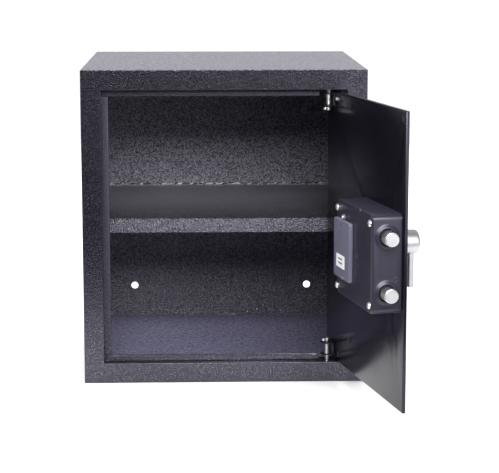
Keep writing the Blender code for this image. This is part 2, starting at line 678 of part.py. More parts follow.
def build_keypad(parts, cutters, door, plastic, window, rubber):
    low, high = door_box((PAD_U[0], PAD_FACE, PAD_Z[0]), (PAD_U[1], DOOR_OUT - GAP, PAD_Z[1]))
    housing = box("keypad_housing", low, high, plastic, parts, door)
    low, high = door_box((PAD_U[0] + PAD_WALL, PAD_FACE + 0.0028, PAD_Z[0] + PAD_WALL),
                         (PAD_U[1] - PAD_WALL, DOOR_OUT + BEYOND, PAD_Z[1] - PAD_WALL))
    cut(housing, box("cut_housing_inside", low, high, None, cutters, door))
    play = 0.0005
    pockets = []
    for _, reach, z in key_centres():
        pockets.append(door_box(
            (reach - KEY_W / 2 - play, PAD_FACE - BEYOND, z - KEY_H / 2 - play),
            (reach + KEY_W / 2 + play, PAD_FACE + BEYOND, z + KEY_H / 2 + play)))
    pockets.append(door_box((WINDOW_U[0], PAD_FACE - BEYOND, WINDOW_Z[0]),
                            (WINDOW_U[1], PAD_FACE + BEYOND, WINDOW_Z[1])))
    cut(housing, box_group("cut_key_pockets", pockets, None, cutters, door))
    lock_bore = rod("cut_override_bore", at(OVERRIDE_U, PAD_FACE - BEYOND, OVERRIDE_Z),
                    at(OVERRIDE_U, PAD_FACE + BEYOND, OVERRIDE_Z), BARREL_R + GAP, None,
                    cutters, door)
    cut(housing, lock_bore)
    low, high = door_box(
        (WINDOW_U[0] + 0.0004, PAD_FACE + 0.0006, WINDOW_Z[0] + 0.0004),
        (WINDOW_U[1] - 0.0004, PAD_FACE + 0.0022, WINDOW_Z[1] - 0.0004))
    box("keypad_window", low, high, window, parts, door)
    for number, reach, z in key_centres():
        low, high = door_box((reach - KEY_W / 2, PAD_FACE - 0.0018, z - KEY_H / 2),
                             (reach + KEY_W / 2, PAD_FACE + 0.0045, z + KEY_H / 2))
        box(f"key_{number:02d}", low, high, rubber, parts, door, bevel=0.0007)


def build_override_lock(parts, cutters, door, steel):
    """The emergency lock: a fixed barrel and the plug that a key turns."""
    barrel = rod("override_barrel", at(OVERRIDE_U, PAD_FACE - 0.0010, OVERRIDE_Z),
                 at(OVERRIDE_U, DOOR_OUT - GAP, OVERRIDE_Z), BARREL_R, steel, parts, door,
                 segments=32)
    bore = rod("cut_barrel_bore", at(OVERRIDE_U, PAD_FACE - BEYOND, OVERRIDE_Z),
               at(OVERRIDE_U, DOOR_OUT + BEYOND, OVERRIDE_Z), PLUG_R + GAP, None, cutters, door)
    cut(barrel, bore)
    plug = rod("override_plug", at(OVERRIDE_U, PAD_FACE - 0.0005, OVERRIDE_Z),
               at(OVERRIDE_U, DOOR_OUT - 0.0008, OVERRIDE_Z), PLUG_R, steel, parts, door,
               segments=32)
    keyway = (0.0007, 0.0035)
    low, high = door_box(
        (OVERRIDE_U - keyway[0], PAD_FACE - BEYOND, OVERRIDE_Z - keyway[1]),
        (OVERRIDE_U + keyway[0], PAD_FACE + 0.0065, OVERRIDE_Z + keyway[1]))
    cut(plug, box("cut_keyway", low, high, None, cutters, door))


def smooth_point(points, share):
    """A point on the Catmull-Rom curve through points."""
    spans = len(points) - 1
    place = min(share * spans, spans - 1e-9)
    index = int(place)
    t = place - index
    before = points[max(index - 1, 0)]
    start = points[index]
    end = points[index + 1]
    after = points[min(index + 2, spans)]
    return 0.5 * (2 * start + (end - before) * t
                  + (2 * before - 5 * start + 4 * end - after) * t * t
                  + (3 * start - before - 3 * end + after) * t * t * t)


def build_keypad_cable(parts, door, rubber):
    """The lead from the keypad, through the door, to the edge of the circuit board."""
    depths_and_heights = (
        (DOOR_OUT - 0.0060, CABLE_Z), (DOOR_IN - 0.0010, CABLE_Z),
        (DOOR_IN + 0.0050, 0.2262), (DOOR_IN + 0.0085, 0.2335),
        (DOOR_IN + 0.0085, 0.2390), (DOOR_IN + 0.0105, 0.2415),
    )
    route = [at(CABLE_U, depth, z) for depth, z in depths_and_heights]
    steps = 20
    points = [smooth_point(route, index / steps) for index in range(steps + 1)]
    wire("keypad_cable", points, CABLE_R, rubber, parts, door)


def main():
    clear_scene()
    parts = make_collection("in_room_safe")
    cutters = make_collection("cutters")
    paint = material("hammertone_paint", (0.020, 0.021, 0.027), 0.42, 0.35)
    door_paint = material("door_paint", (0.018, 0.019, 0.026), 0.38, 0.30)
    shell = material("lock_case_paint", (0.075, 0.080, 0.100), 0.40, 0.20)
    cover = material("cover_plastic", (0.12, 0.12, 0.15), 0.45, 0.0)
    steel = material("zinc_steel", (0.62, 0.62, 0.60), 0.30, 1.0)
    satin = material("satin_chrome", (0.78, 0.78, 0.77), 0.28, 1.0)
    felt = material("floor_felt", (0.12, 0.13, 0.16), 0.95, 0.0)
    plastic = material("black_plastic", (0.02, 0.02, 0.022), 0.45, 0.0)
    window = material("display_window", (0.03, 0.01, 0.01), 0.08, 0.0)
    rubber = material("key_rubber", (0.10, 0.10, 0.11), 0.65, 0.0)
    board = material("circuit_board", (0.02, 0.12, 0.05), 0.45, 0.0)
    cell = material("cell_sleeve", (0.03, 0.03, 0.035), 0.35, 0.2)

    door = bpy.data.objects.new("door_axis", None)
    parts.objects.link(door)
    door.location = (HINGE_X, HINGE_Y, 0.0)
    door.rotation_euler = (0.0, 0.0, math.radians(DOOR_OPEN_DEG))

    build_walls(parts, paint)
    build_back_panel(parts, cutters, paint)
    build_front_frame(parts, cutters, paint)
    build_stop_strips(parts, paint)
    build_shelf(parts, cutters, paint)
    build_floor_mat(parts, felt)
    build_door_plate(parts, cutters, door, door_paint)
    hinges = (("upper", DOOR_Z1 - HINGE_INSET, 1), ("lower", DOOR_Z0 + HINGE_INSET, -1))
    for word, z_near, side in hinges:
        build_hinge_bracket(f"hinge_bracket_{word}", z_near, side, parts, cutters, door,
                            door_paint)
        build_hinge_pin(f"hinge_pin_{word}", z_near, side, parts, cutters, door, steel)
        build_hinge_spring(f"hinge_spring_{word}", z_near, side, parts, door, steel)
    build_lock_case(parts, cutters, door, shell)
    build_case_screws(parts, door, steel)
    for name, z in zip(("bolt_bush_lower", "bolt_bush_upper"), BOLT_Z):
        build_bolt_bush(name, z, parts, cutters, door, shell)
    build_bolts(parts, cutters, door, steel)
    build_knob(parts, cutters, door, satin, steel)
    build_lock_inside(parts, cutters, door, steel, plastic, board, cell)
    build_battery_cover(parts, cutters, door, cover, steel)
    build_reset_button(parts, door, plastic)
    build_keypad(parts, cutters, door, plastic, window, rubber)
    build_override_lock(parts, cutters, door, steel)
    build_keypad_cable(parts, door, rubber)


main()
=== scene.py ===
import math
import random

import bmesh
import bpy
from mathutils import Matrix, Vector


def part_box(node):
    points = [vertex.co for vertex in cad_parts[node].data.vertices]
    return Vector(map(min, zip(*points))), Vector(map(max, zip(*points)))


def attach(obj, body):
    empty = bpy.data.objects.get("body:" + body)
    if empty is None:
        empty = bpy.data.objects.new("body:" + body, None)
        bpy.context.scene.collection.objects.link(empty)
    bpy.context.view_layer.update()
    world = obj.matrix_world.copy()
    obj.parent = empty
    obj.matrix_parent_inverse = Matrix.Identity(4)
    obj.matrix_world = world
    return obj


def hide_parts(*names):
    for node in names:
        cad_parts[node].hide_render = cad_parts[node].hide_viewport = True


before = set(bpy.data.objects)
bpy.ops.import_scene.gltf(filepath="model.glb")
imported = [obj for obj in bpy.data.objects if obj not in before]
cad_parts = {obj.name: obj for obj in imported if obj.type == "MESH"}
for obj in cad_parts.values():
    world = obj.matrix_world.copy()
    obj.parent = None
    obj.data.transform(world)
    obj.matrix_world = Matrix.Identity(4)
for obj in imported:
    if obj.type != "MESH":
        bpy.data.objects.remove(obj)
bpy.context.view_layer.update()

# ---- dimensions shared with the part, in metres ---------------------------------------------
CASE_HALF_W = 0.175
CASE_HALF_D = 0.180
CASE_H = 0.390
SHEET = 0.002
HINGE_X = 0.1286
HINGE_Y = -0.1623
DOOR_OPEN_DEG = 102.0
MOUTH_X = 0.1503
MOUTH_Z = (0.0249, 0.3654)
JAMB_DEPTH = 0.028
SIDE_JAMB_DEPTH = 0.0123
ANCHOR_HOLES = ((-0.1245, 0.0527), (0.1245, 0.0527))
ANCHOR_R = 0.005
LID_TOP = 0.2295
LID_PROUD = 0.0045
OUTER_EDGE_R = 0.0010
INNER_EDGE_R = 0.0007
SEAM = 0.00001

# Places on the door's inner face: reach from the hinge axis, height and, for welds, radius.
PLUG = (0.2668, 0.3532)
HINGE_RIVET = (0.0152, 0.3541)
SPOT_WELDS = ((0.0338, 0.3535, 0.0032), (0.0735, 0.3511, 0.0046), (0.0761, 0.0645, 0.0046),
              (0.0304, 0.0372, 0.0036))
# The heights between which the hinge weld beads clear the stop strips of the closed door.
WELD_Z = (0.0348, 0.3556)
# The rivet on the lock case's side.
CASE_RIVET_Z = 0.1775

# The case's coat: colour deep inside (painted paler as painted light in the interior), fleck
# colour, grains per metre and bump height.
COAT_INSIDE_PAINTED_LIGHT = (0.140, 0.137, 0.163)
COAT_FLECK = (0.30, 0.29, 0.34)
COAT_CELL = 560.0
COAT_RELIEF = 0.00070

HERE = Matrix.Identity(4)
DOOR = (Matrix.Translation((HINGE_X, HINGE_Y, 0.0))
        @ Matrix.Rotation(math.radians(DOOR_OPEN_DEG), 4, "Z"))
TO_DOOR = DOOR.inverted()


def at(reach, depth, z):
    """A point of the door's frame: reach from the hinge axis, depth into the safe, height."""
    return Vector((-reach, depth, z))


def door_span(node):
    """Lowest and highest corner of a CAD node in the door's frame, each as reach, depth, z."""
    points = [TO_DOOR @ v.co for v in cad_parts[node].data.vertices]
    low = Vector((min(-p.x for p in points), min(p.y for p in points),
                  min(p.z for p in points)))
    high = Vector((max(-p.x for p in points), max(p.y for p in points),
                   max(p.z for p in points)))
    return low, high


# ---- shapes -----------------------------------------------------------------------------------
def add_object(name, mesh, place):
    obj = bpy.data.objects.new(name, mesh)
    bpy.context.scene.collection.objects.link(obj)
    obj.matrix_world = place
    return obj


def from_bmesh(bm, name, place=HERE):
    bmesh.ops.recalc_face_normals(bm, faces=bm.faces)
    mesh = bpy.data.meshes.new(name)
    bm.to_mesh(mesh)
    bm.free()
    return add_object(name, mesh, place)


def settle(obj):
    """Turns an object's modifiers, or a curve or text, into a plain mesh."""
    bpy.context.view_layer.update()
    graph = bpy.context.evaluated_depsgraph_get()
    shape = bpy.data.meshes.new_from_object(obj.evaluated_get(graph))
    if obj.type == "MESH":
        obj.modifiers.clear()
        obj.data = shape
        return obj
    name = obj.name
    place = obj.matrix_world.copy()
    bpy.data.objects.remove(obj, do_unlink=True)
    return add_object(name, shape, place)


def carve(obj, cutter, operation="DIFFERENCE"):
    boolean = obj.modifiers.new(operation, "BOOLEAN")
    boolean.operation = operation
    boolean.solver = "EXACT"
    boolean.object = cutter
    settle(obj)
    bpy.data.objects.remove(cutter, do_unlink=True)
    return obj


def tidy_faces(obj):
    """Merges split vertices and flat neighbouring faces, so that edges can be rounded."""
    bm = bmesh.new()
    bm.from_mesh(obj.data)
    bmesh.ops.remove_doubles(bm, verts=bm.verts, dist=0.000002)
    bmesh.ops.dissolve_limit(bm, angle_limit=math.radians(1.0), verts=bm.verts,
                             edges=bm.edges)
    bmesh.ops.recalc_face_normals(bm, faces=bm.faces)
    bm.to_mesh(obj.data)
    bm.free()
    return obj


def soften(obj, width, segments=3, angle=30.0):
    """Rounds every edge sharper than angle and keeps the flats flat."""
    obj.data.shade_smooth()
    bevel = obj.modifiers.new("round", "BEVEL")
    bevel.width = width
    bevel.segments = segments
    bevel.limit_method = "ANGLE"
    bevel.angle_limit = math.radians(angle)
    bevel.harden_normals = True
    return settle(obj)


def smooth(obj, angle=35.0):
    obj.data.shade_smooth()
    obj.data.set_sharp_from_angle(angle=math.radians(angle))
    return obj


def block(name, low, high, place=HERE):
    low = Vector(low)
    high = Vector(high)
    bm = bmesh.new()
    matrix = Matrix.Translation((low + high) / 2) @ Matrix.Diagonal((*(high - low), 1.0))
    bmesh.ops.create_cube(bm, size=1.0, matrix=matrix)
    return from_bmesh(bm, name, place)


def door_block(name, low, high):
    """A box given by its (reach, depth, z) corners."""
    return block(name, at(high[0], low[1], low[2]), at(low[0], high[1], high[2]), DOOR)


def join(first, *others):
    with bpy.context.temp_override(active_object=first, object=first,
                                   selected_objects=[first, *others],
                                   selected_editable_objects=[first, *others]):
        bpy.ops.object.join()
    return first


def lathe(name, profile, start, axis, place=DOOR, steps=64, ring=False):
    """A turned piece: profile is (distance along the axis, radius) pairs."""
    axis = Vector(axis).normalized()
    turn = axis.to_track_quat("Z", "Y").to_matrix()
    bm = bmesh.new()
    rows = []
    for along, radius in profile:
        centre = Vector(start) + axis * along
        if radius < 0.000001:
            rows.append([bm.verts.new(centre)])
            continue
        row = []
        for index in range(steps):
            angle = 2 * math.pi * index / steps
            spoke = Vector((radius * math.cos(angle), radius * math.sin(angle), 0.0))
            row.append(bm.verts.new(centre + turn @ spoke))
        rows.append(row)
    pairs = list(zip(rows, rows[1:]))
    if ring:
        pairs.append((rows[-1], rows[0]))
    for row_a, row_b in pairs:
        for index in range(steps):
            after = (index + 1) % steps
            if len(row_a) == 1 and len(row_b) == 1:
                break
            if len(row_a) == 1:
                bm.faces.new((row_a[0], row_b[index], row_b[after]))
            elif len(row_b) == 1:
                bm.faces.new((row_a[index], row_b[0], row_a[after]))
            else:
                bm.faces.new((row_a[index], row_b[index], row_b[after], row_a[after]))
    return from_bmesh(bm, name, place)


def arc(centre, radius, start_deg, end_deg, steps):
    """Points along an arc, as pairs."""
    points = []
    for index in range(steps + 1):
        angle = math.radians(start_deg + (end_deg - start_deg) * index / steps)
        points.append((centre[0] + radius * math.cos(angle),
                       centre[1] + radius * math.sin(angle)))
    return points


def tube(name, points, radius, place=DOOR):
    curve = bpy.data.curves.new(name, "CURVE")
    curve.dimensions = "3D"
    curve.bevel_depth = radius
    curve.bevel_resolution = 4
    curve.use_fill_caps = True
    spline = curve.splines.new("POLY")
    spline.points.add(len(points) - 1)
    for index, point in enumerate(points):
        spline.points[index].co = (*point, 1.0)
    obj = bpy.data.objects.new(name, curve)
    bpy.context.scene.collection.objects.link(obj)
    obj.matrix_world = place
    obj = settle(obj)
    return smooth(obj, 60)


def refined(node, bevel=0.0, segments=3, place=DOOR):
    """A finer copy of a CAD node, with its edges rounded."""
    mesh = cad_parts[node].data.copy()
    mesh.materials.clear()
    mesh.transform(place.inverted())
    obj = add_object("look_" + node, mesh, place)
    tidy_faces(obj)
    if bevel:
        return soften(obj, bevel, segments)
    return smooth(obj)


def finish_piece(obj, name, body, slot, look, *nodes):
    obj.name = name
    if look is not None:
        obj.data.materials.clear()
        obj.data.materials.append(look)
    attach(obj, body)
    if nodes:
        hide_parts(*nodes)
    return obj


def dress(node, bevel, name, body, slot, look):
    """Puts a finer copy of a CAD node of the door in its place."""
    finish_piece(refined(node, bevel, 2), name, body, slot, look, node)


# ---- material nodes ---------------------------------------------------------------------------
def add(tree, kind, inputs=None, **settings):
    node = tree.nodes.new(kind)
    for key, value in settings.items():
        setattr(node, key, value)
    for key, value in (inputs or {}).items():
        if isinstance(value, bpy.types.NodeSocket):
            tree.links.new(value, node.inputs[key])
        else:
            node.inputs[key].default_value = value
    return node


def new_look(name):
    mat = bpy.data.materials.new(name)
    mat.use_nodes = True
    tree = mat.node_tree
    shader = tree.nodes["Principled BSDF"]
    coords = add(tree, "ShaderNodeTexCoord").outputs["Object"]
    return mat, tree, shader, coords


def noise(tree, coords, scale, detail=3.0, roughness=0.55, distortion=0.0):
    made = add(tree, "ShaderNodeTexNoise", {
        "Vector": coords, "Scale": scale, "Detail": detail, "Roughness": roughness,
        "Distortion": distortion})
    return made.outputs["Fac"]


def stretched(tree, coords, x, y, z):
    made = add(tree, "ShaderNodeMapping", {"Vector": coords, "Scale": (x, y, z)})
    return made.outputs["Vector"]


def remap(tree, value, low, high, to_low=0.0, to_high=1.0):
    made = add(tree, "ShaderNodeMapRange", {
        "Value": value, "From Min": low, "From Max": high, "To Min": to_low,
        "To Max": to_high})
    return made.outputs["Result"]


def maths(tree, operation, a, b):
    made = tree.nodes.new("ShaderNodeMath")
    made.operation = operation
    for index, value in enumerate((a, b)):
        if isinstance(value, bpy.types.NodeSocket):
            tree.links.new(value, made.inputs[index])
        else:
            made.inputs[index].default_value = value
    return made.outputs[0]


def blend_colour(tree, factor, first, second):
    made = tree.nodes.new("ShaderNodeMix")
    made.data_type = "RGBA"
    for index, value in ((0, factor), (6, first), (7, second)):
        if isinstance(value, bpy.types.NodeSocket):
            tree.links.new(value, made.inputs[index])
        elif index == 0:
            made.inputs[index].default_value = value
        else:
            made.inputs[index].default_value = (*value, 1.0)
    return made.outputs[2]


def bump(tree, height, distance):
    made = add(tree, "ShaderNodeBump", {"Height": height, "Distance": distance,
                                        "Strength": 1.0})
    return made.outputs["Normal"]


def below(tree, value, limit):
    """1 while value is under limit, fading to 0 between 1.5 and 0.5 mm short of it."""
    return remap(tree, value, limit - 0.0015, limit - 0.0005, 1.0, 0.0)


def inside_and_painted_light_share(tree, split):
    """0 on the case's outside and front, rising to 1 on the faces deep inside it, where the
    coat's colour is painted paler as painted light; towards the bottom it stays lower, as painted
    shade under the shelf.
    """
    x, y, z = (split.outputs[axis] for axis in "XYZ")
    # Painted light: the coat is painted paler the deeper it lies inside the case.
    share = remap(tree, y, -0.172, 0.090)
    share = maths(tree, "MULTIPLY", share, below(tree, y, CASE_HALF_D))
    side = maths(tree, "ABSOLUTE", x, 0.0)
    share = maths(tree, "MULTIPLY", share, below(tree, side, CASE_HALF_W))
    share = maths(tree, "MULTIPLY", share, remap(tree, z, 0.0005, 0.0015))
    share = maths(tree, "MULTIPLY", share, below(tree, z, CASE_H))
    # Painted shade: the share falls to 0.35 towards the bottom, under the shelf.
    return maths(tree, "MULTIPLY", share, remap(tree, z, 0.02, 0.17, 0.35, 1.0))


def packed_grain(tree, coords, cell):
    """Height of round grains about one cell apart, their places nudged by a noise."""
    nudge = add(tree, "ShaderNodeTexNoise", {"Vector": coords, "Scale": cell * 0.6})
    shift = add(tree, "ShaderNodeVectorMath", {0: nudge.outputs["Color"], "Scale": 0.5 / cell},
                operation="SCALE")
    offset = add(tree, "ShaderNodeVectorMath", {0: coords, 1: shift.outputs["Vector"]},
                 operation="ADD")
    cells = add(tree, "ShaderNodeTexVoronoi", {
        "Vector": offset.outputs["Vector"], "Scale": cell}, feature="SMOOTH_F1")
    cells.inputs["Smoothness"].default_value = 0.35
    return remap(tree, cells.outputs["Distance"], 0.05, 0.75, 1.0, 0.0)


def fleck_amount(tree, coords, split, share):
    """Metallic flecks, stronger near the base and everywhere right of the mouth.

    Broader pools lie on the top face only. Both imitate how one studio light picks out the
    coat's texture, so they are no property of the real coat.
    """
    flake = remap(tree, noise(tree, coords, COAT_CELL * 1.45, 1.0, 0.5), 0.60, 0.68)
    lower = remap(tree, split.outputs["Z"], 0.035, 0.110, 0.55, 0.0)
    flank = remap(tree, split.outputs["X"], 0.148, 0.152, 0.0, 0.30)
    # Deeper inside the case the flecks are painted stronger as well, as part of the painted light
    # there.
    bright = maths(tree, "ADD", maths(tree, "ADD", lower, flank),
                   remap(tree, share, 0.0, 0.4, 0.20, 0.6))
    flake = maths(tree, "MULTIPLY", flake, bright)
    pools = noise(tree, stretched(tree, coords, 1.0, 0.40, 1.0), 210.0, 3.0, 0.6)
    on_top = remap(tree, split.outputs["Z"], CASE_H - 0.0015, CASE_H - 0.0005, 0.0, 0.45)
    pools = maths(tree, "MULTIPLY", remap(tree, pools, 0.47, 0.60), on_top)
    return maths(tree, "ADD", flake, pools)


def hammertone(name, dark, roughness, gloss):
    """Glossy coat of packed round grains; inside the case it is rougher and coarser, and its
    colour is painted paler as painted light.
    """
    mat, tree, shader, coords = new_look(name)
    shader.inputs["Specular IOR Level"].default_value = gloss
    shader.inputs["Specular Tint"].default_value = (0.86, 0.83, 1.0, 1.0)
    split = add(tree, "ShaderNodeSeparateXYZ", {"Vector": coords})
    share = inside_and_painted_light_share(tree, split)
    grain = packed_grain(tree, coords, COAT_CELL)
    fine = noise(tree, coords, COAT_CELL * 1.7, 2.0, 0.55)
    height = maths(tree, "ADD", grain, maths(tree, "MULTIPLY", fine, 0.7))
    height = maths(tree, "MULTIPLY", height, remap(tree, share, 0.0, 0.12, 0.17, 1.0))
    swell = noise(tree, stretched(tree, coords, 1.0, 0.35, 1.0), 330.0, 3.0, 0.6)
    on_top = remap(tree, split.outputs["Z"], CASE_H - 0.0015, CASE_H - 0.0005, 0.10, 0.9)
    height = maths(tree, "ADD", height, maths(tree, "MULTIPLY", swell, on_top))
    tree.links.new(bump(tree, height, COAT_RELIEF), shader.inputs["Normal"])
    clouds = remap(tree, noise(tree, coords, 11.0, 3.0), 0.3, 0.7)
    outer = blend_colour(tree, clouds, [c * 0.88 for c in dark], [c * 1.12 for c in dark])
    speck = remap(tree, noise(tree, coords, COAT_CELL * 1.25, 2.0, 0.6), 0.42, 0.62)
    # Painted light: the paler speckled colour painted on the faces inside the case.
    inner = blend_colour(tree, speck, [c * 0.1 for c in COAT_INSIDE_PAINTED_LIGHT],
                         [c * 2.4 for c in COAT_INSIDE_PAINTED_LIGHT])
    base = blend_colour(tree, share, outer, inner)
    flake = fleck_amount(tree, coords, split, share)
    tree.links.new(blend_colour(tree, flake, base, COAT_FLECK), shader.inputs["Base Color"])
    tree.links.new(flake, shader.inputs["Metallic"])
    rough = remap(tree, fine, 0.3, 0.7, roughness - 0.05, roughness + 0.07)
    tree.links.new(maths(tree, "ADD", rough, maths(tree, "MULTIPLY", share, 0.12)),
                   shader.inputs["Roughness"])
    return mat


def gap_shadow_look():
    """A dark strip painted as the shadow of the gap along the shelf's rear upstand, with patches
    of bright metallic colour.
    """
    mat, tree, shader, coords = new_look("painted_gap_shadow")
    patches = noise(tree, stretched(tree, coords, 0.35, 1.0, 1.0), 420.0, 4.0, 0.7)
    metal_bits = remap(tree, patches, 0.50, 0.58)
    # Painted shadow: the dark colour, broken by bright metallic patches.
    tree.links.new(blend_colour(tree, metal_bits, (0.006, 0.006, 0.008), (0.60, 0.60, 0.63)),
                   shader.inputs["Base Color"])
    tree.links.new(maths(tree, "MULTIPLY", metal_bits, 0.7), shader.inputs["Metallic"])
    tree.links.new(bump(tree, patches, 0.0003), shader.inputs["Normal"])
    tree.links.new(remap(tree, patches, 0.3, 0.7, 0.32, 0.5), shader.inputs["Roughness"])
    return mat


def satin_paint(name, colour, grain, relief, roughness):
    """Smooth satin paint with a fine orange peel and faint cloudy variation."""
    mat, tree, shader, coords = new_look(name)
    shader.inputs["Specular IOR Level"].default_value = 0.4
    shader.inputs["Specular Tint"].default_value = (0.88, 0.84, 1.0, 1.0)
    peel = noise(tree, coords, grain, 3.0, 0.5)
    fine = noise(tree, coords, grain * 4.0, 2.0, 0.6)
    height = maths(tree, "ADD", peel, maths(tree, "MULTIPLY", fine, 0.3))
    tree.links.new(bump(tree, height, relief), shader.inputs["Normal"])
    clouds = noise(tree, coords, 14.0, 4.0, 0.6)
    tree.links.new(blend_colour(tree, remap(tree, clouds, 0.3, 0.7),
                                [c * 0.88 for c in colour], [c * 1.12 for c in colour]),
                   shader.inputs["Base Color"])
    rub = noise(tree, coords, 30.0, 3.0, 0.6)
    tree.links.new(remap(tree, rub, 0.3, 0.75, roughness - 0.02, roughness + 0.03),
                   shader.inputs["Roughness"])
    return mat


def bare_metal(name, colour, roughness, grain, relief, stretch=(1.0, 1.0, 1.0)):
    """Plated or polished steel: grain along one direction, faint stains, duller patches."""
    mat, tree, shader, coords = new_look(name)
    shader.inputs["Metallic"].default_value = 1.0
    lay = noise(tree, stretched(tree, coords, *stretch), grain, 4.0, 0.65)
    tree.links.new(bump(tree, lay, relief), shader.inputs["Normal"])
    stain = noise(tree, coords, 60.0, 4.0, 0.6)
    low = [c * 0.88 for c in colour]
    tree.links.new(blend_colour(tree, remap(tree, stain, 0.35, 0.7), colour, low),
                   shader.inputs["Base Color"])
    dull = noise(tree, coords, 220.0, 3.0, 0.6)
    tree.links.new(remap(tree, dull, 0.3, 0.75, roughness - 0.06, roughness + 0.08),
                   shader.inputs["Roughness"])
    return mat


def moulded(name, colour, roughness, grain=2600.0, relief=0.00002, variation=0.08):
    """Injection-moulded plastic or rubber with a spark-eroded texture."""
    mat, tree, shader, coords = new_look(name)
    pits = noise(tree, coords, grain, 2.0, 0.5)
    tree.links.new(bump(tree, pits, relief), shader.inputs["Normal"])
    clouds = noise(tree, coords, 35.0, 3.0)
    low = [c * (1.0 - variation) for c in colour]
    high = [c * (1.0 + variation) for c in colour]
    tree.links.new(blend_colour(tree, clouds, low, high), shader.inputs["Base Color"])
    wear = noise(tree, coords, 90.0, 3.0)
    tree.links.new(remap(tree, wear, 0.3, 0.7, roughness - 0.05, roughness + 0.05),
                   shader.inputs["Roughness"])
    return mat


def felt_look():
    """Needle-punched carpet: matted fibres, lighter and darker flecks."""
    mat, tree, shader, coords = new_look("floor_felt")
    shader.inputs["Sheen Weight"].default_value = 0.04
    shader.inputs["Sheen Roughness"].default_value = 0.6
    shader.inputs["Specular IOR Level"].default_value = 0.05
    shader.inputs["Roughness"].default_value = 0.95
    long_way = noise(tree, stretched(tree, coords, 1.0, 0.22, 1.0), 1300.0, 4.0, 0.7, 0.9)
    cross_way = noise(tree, stretched(tree, coords, 0.25, 1.0, 1.0), 1150.0, 4.0, 0.7, 0.9)
    tuft = noise(tree, coords, 210.0, 4.0, 0.7, 0.5)
    fibres = maths(tree, "MAXIMUM", long_way, cross_way)
    height = maths(tree, "ADD", fibres, maths(tree, "MULTIPLY", tuft, 0.8))
    tree.links.new(bump(tree, height, 0.0009), shader.inputs["Normal"])
    mottled = maths(tree, "ADD", maths(tree, "MULTIPLY", tuft, 0.6),
                    maths(tree, "MULTIPLY", fibres, 0.5))
    colour = blend_colour(tree, remap(tree, mottled, 0.46, 0.68), (0.045, 0.043, 0.078),
                          (0.290, 0.275, 0.440))
    patches = noise(tree, coords, 22.0, 3.0)
    colour = blend_colour(tree, remap(tree, patches, 0.35, 0.65, 0.0, 0.25), colour,
                          (0.140, 0.134, 0.220))
    tree.links.new(colour, shader.inputs["Base Color"])
    return mat


def board_look():
    mat, tree, shader, coords = new_look("circuit_board")
    shader.inputs["Coat Weight"].default_value = 0.4
    traces = add(tree, "ShaderNodeTexBrick", {
        "Vector": coords, "Scale": 160.0, "Mortar Size": 0.03,
        "Color1": (0.012, 0.085, 0.035, 1.0), "Color2": (0.016, 0.105, 0.045, 1.0),
        "Mortar": (0.05, 0.20, 0.08, 1.0)})
    tree.links.new(traces.outputs["Color"], shader.inputs["Base Color"])
    tree.links.new(bump(tree, traces.outputs["Fac"], 0.00003), shader.inputs["Normal"])
    grain = noise(tree, coords, 300.0)
    tree.links.new(remap(tree, grain, 0.3, 0.7, 0.32, 0.45), shader.inputs["Roughness"])
    return mat


def window_look():
    mat, tree, shader, coords = new_look("display_window")
    shader.inputs["Coat Weight"].default_value = 1.0
    shader.inputs["Coat Roughness"].default_value = 0.04
    clouds = noise(tree, coords, 40.0)
    tree.links.new(blend_colour(tree, clouds, (0.030, 0.006, 0.006), (0.045, 0.010, 0.010)),
                   shader.inputs["Base Color"])
    smear = noise(tree, coords, 120.0, 4.0)
    tree.links.new(remap(tree, smear, 0.3, 0.8, 0.07, 0.16), shader.inputs["Roughness"])
    return mat


case_paint = hammertone("case_paint", (0.0048, 0.0045, 0.0080), 0.20, 0.74)
stop_paint = hammertone("stop_paint", (0.0120, 0.0114, 0.0170), 0.46, 0.25)
gap_shadow_paint = gap_shadow_look()
door_paint = satin_paint("door_paint", (0.0045, 0.0042, 0.0075), 620.0, 0.00007, 0.19)
lock_paint = satin_paint("lock_case_paint", (0.0180, 0.0172, 0.0270), 900.0, 0.00003, 0.34)
cover_plastic = moulded("cover_plastic", (0.115, 0.112, 0.160), 0.42)
zinc = bare_metal("zinc_steel", (0.74, 0.74, 0.76), 0.36, 900.0, 0.00003)
bolt_metal = bare_metal("bolt_steel", (0.62, 0.62, 0.64), 0.38, 1500.0, 0.00003,
                        (1.0, 0.15, 0.15))
chrome = bare_metal("satin_chrome", (0.54, 0.54, 0.56), 0.43, 1400.0, 0.00002,
                    (0.2, 1.0, 0.2))
felt = felt_look()
black_plastic = moulded("black_plastic", (0.020, 0.020, 0.023), 0.48)
display_window = window_look()
key_rubber = moulded("key_rubber", (0.085, 0.086, 0.092), 0.62, 3200.0, 0.00003)
cable_jacket = moulded("cable_jacket", (0.020, 0.020, 0.022), 0.40, 900.0, 0.00002)
board_green = board_look()
cell_sleeve = moulded("cell_sleeve", (0.030, 0.031, 0.036), 0.30, 700.0, 0.00001)
cell_band = moulded("cell_band", (0.30, 0.15, 0.06), 0.28, 700.0, 0.00001)
label_paper = moulded("label_paper", (0.78, 0.78, 0.80), 0.55, 1800.0, 0.00001, 0.04)
label_ink = moulded("label_ink", (0.06, 0.06, 0.07), 0.55)
key_ink = moulded("key_ink", (0.72, 0.72, 0.72), 0.5)


# ---- case -------------------------------------------------------------------------------------
def weighted_edges(obj, low, high):
    """Marks the case's outer edges for a wider rounding than the rest."""
    bm = bmesh.new()
    bm.from_mesh(obj.data)
    weight = bm.edges.layers.float.new("bevel_weight_edge")
    near = 0.0001
    for edge in bm.edges:
        if len(edge.link_faces) != 2 or edge.calc_face_angle(0.0) < math.radians(30):
            continue
        planes = 0
        for axis in range(3):
            for limit in (low[axis], high[axis]):
                if all(abs(v.co[axis] - limit) < near for v in edge.verts):
                    planes += 1
        edge[weight] = 1.0 if planes >= 2 else INNER_EDGE_R / OUTER_EDGE_R
    bm.to_mesh(obj.data)
    bm.free()


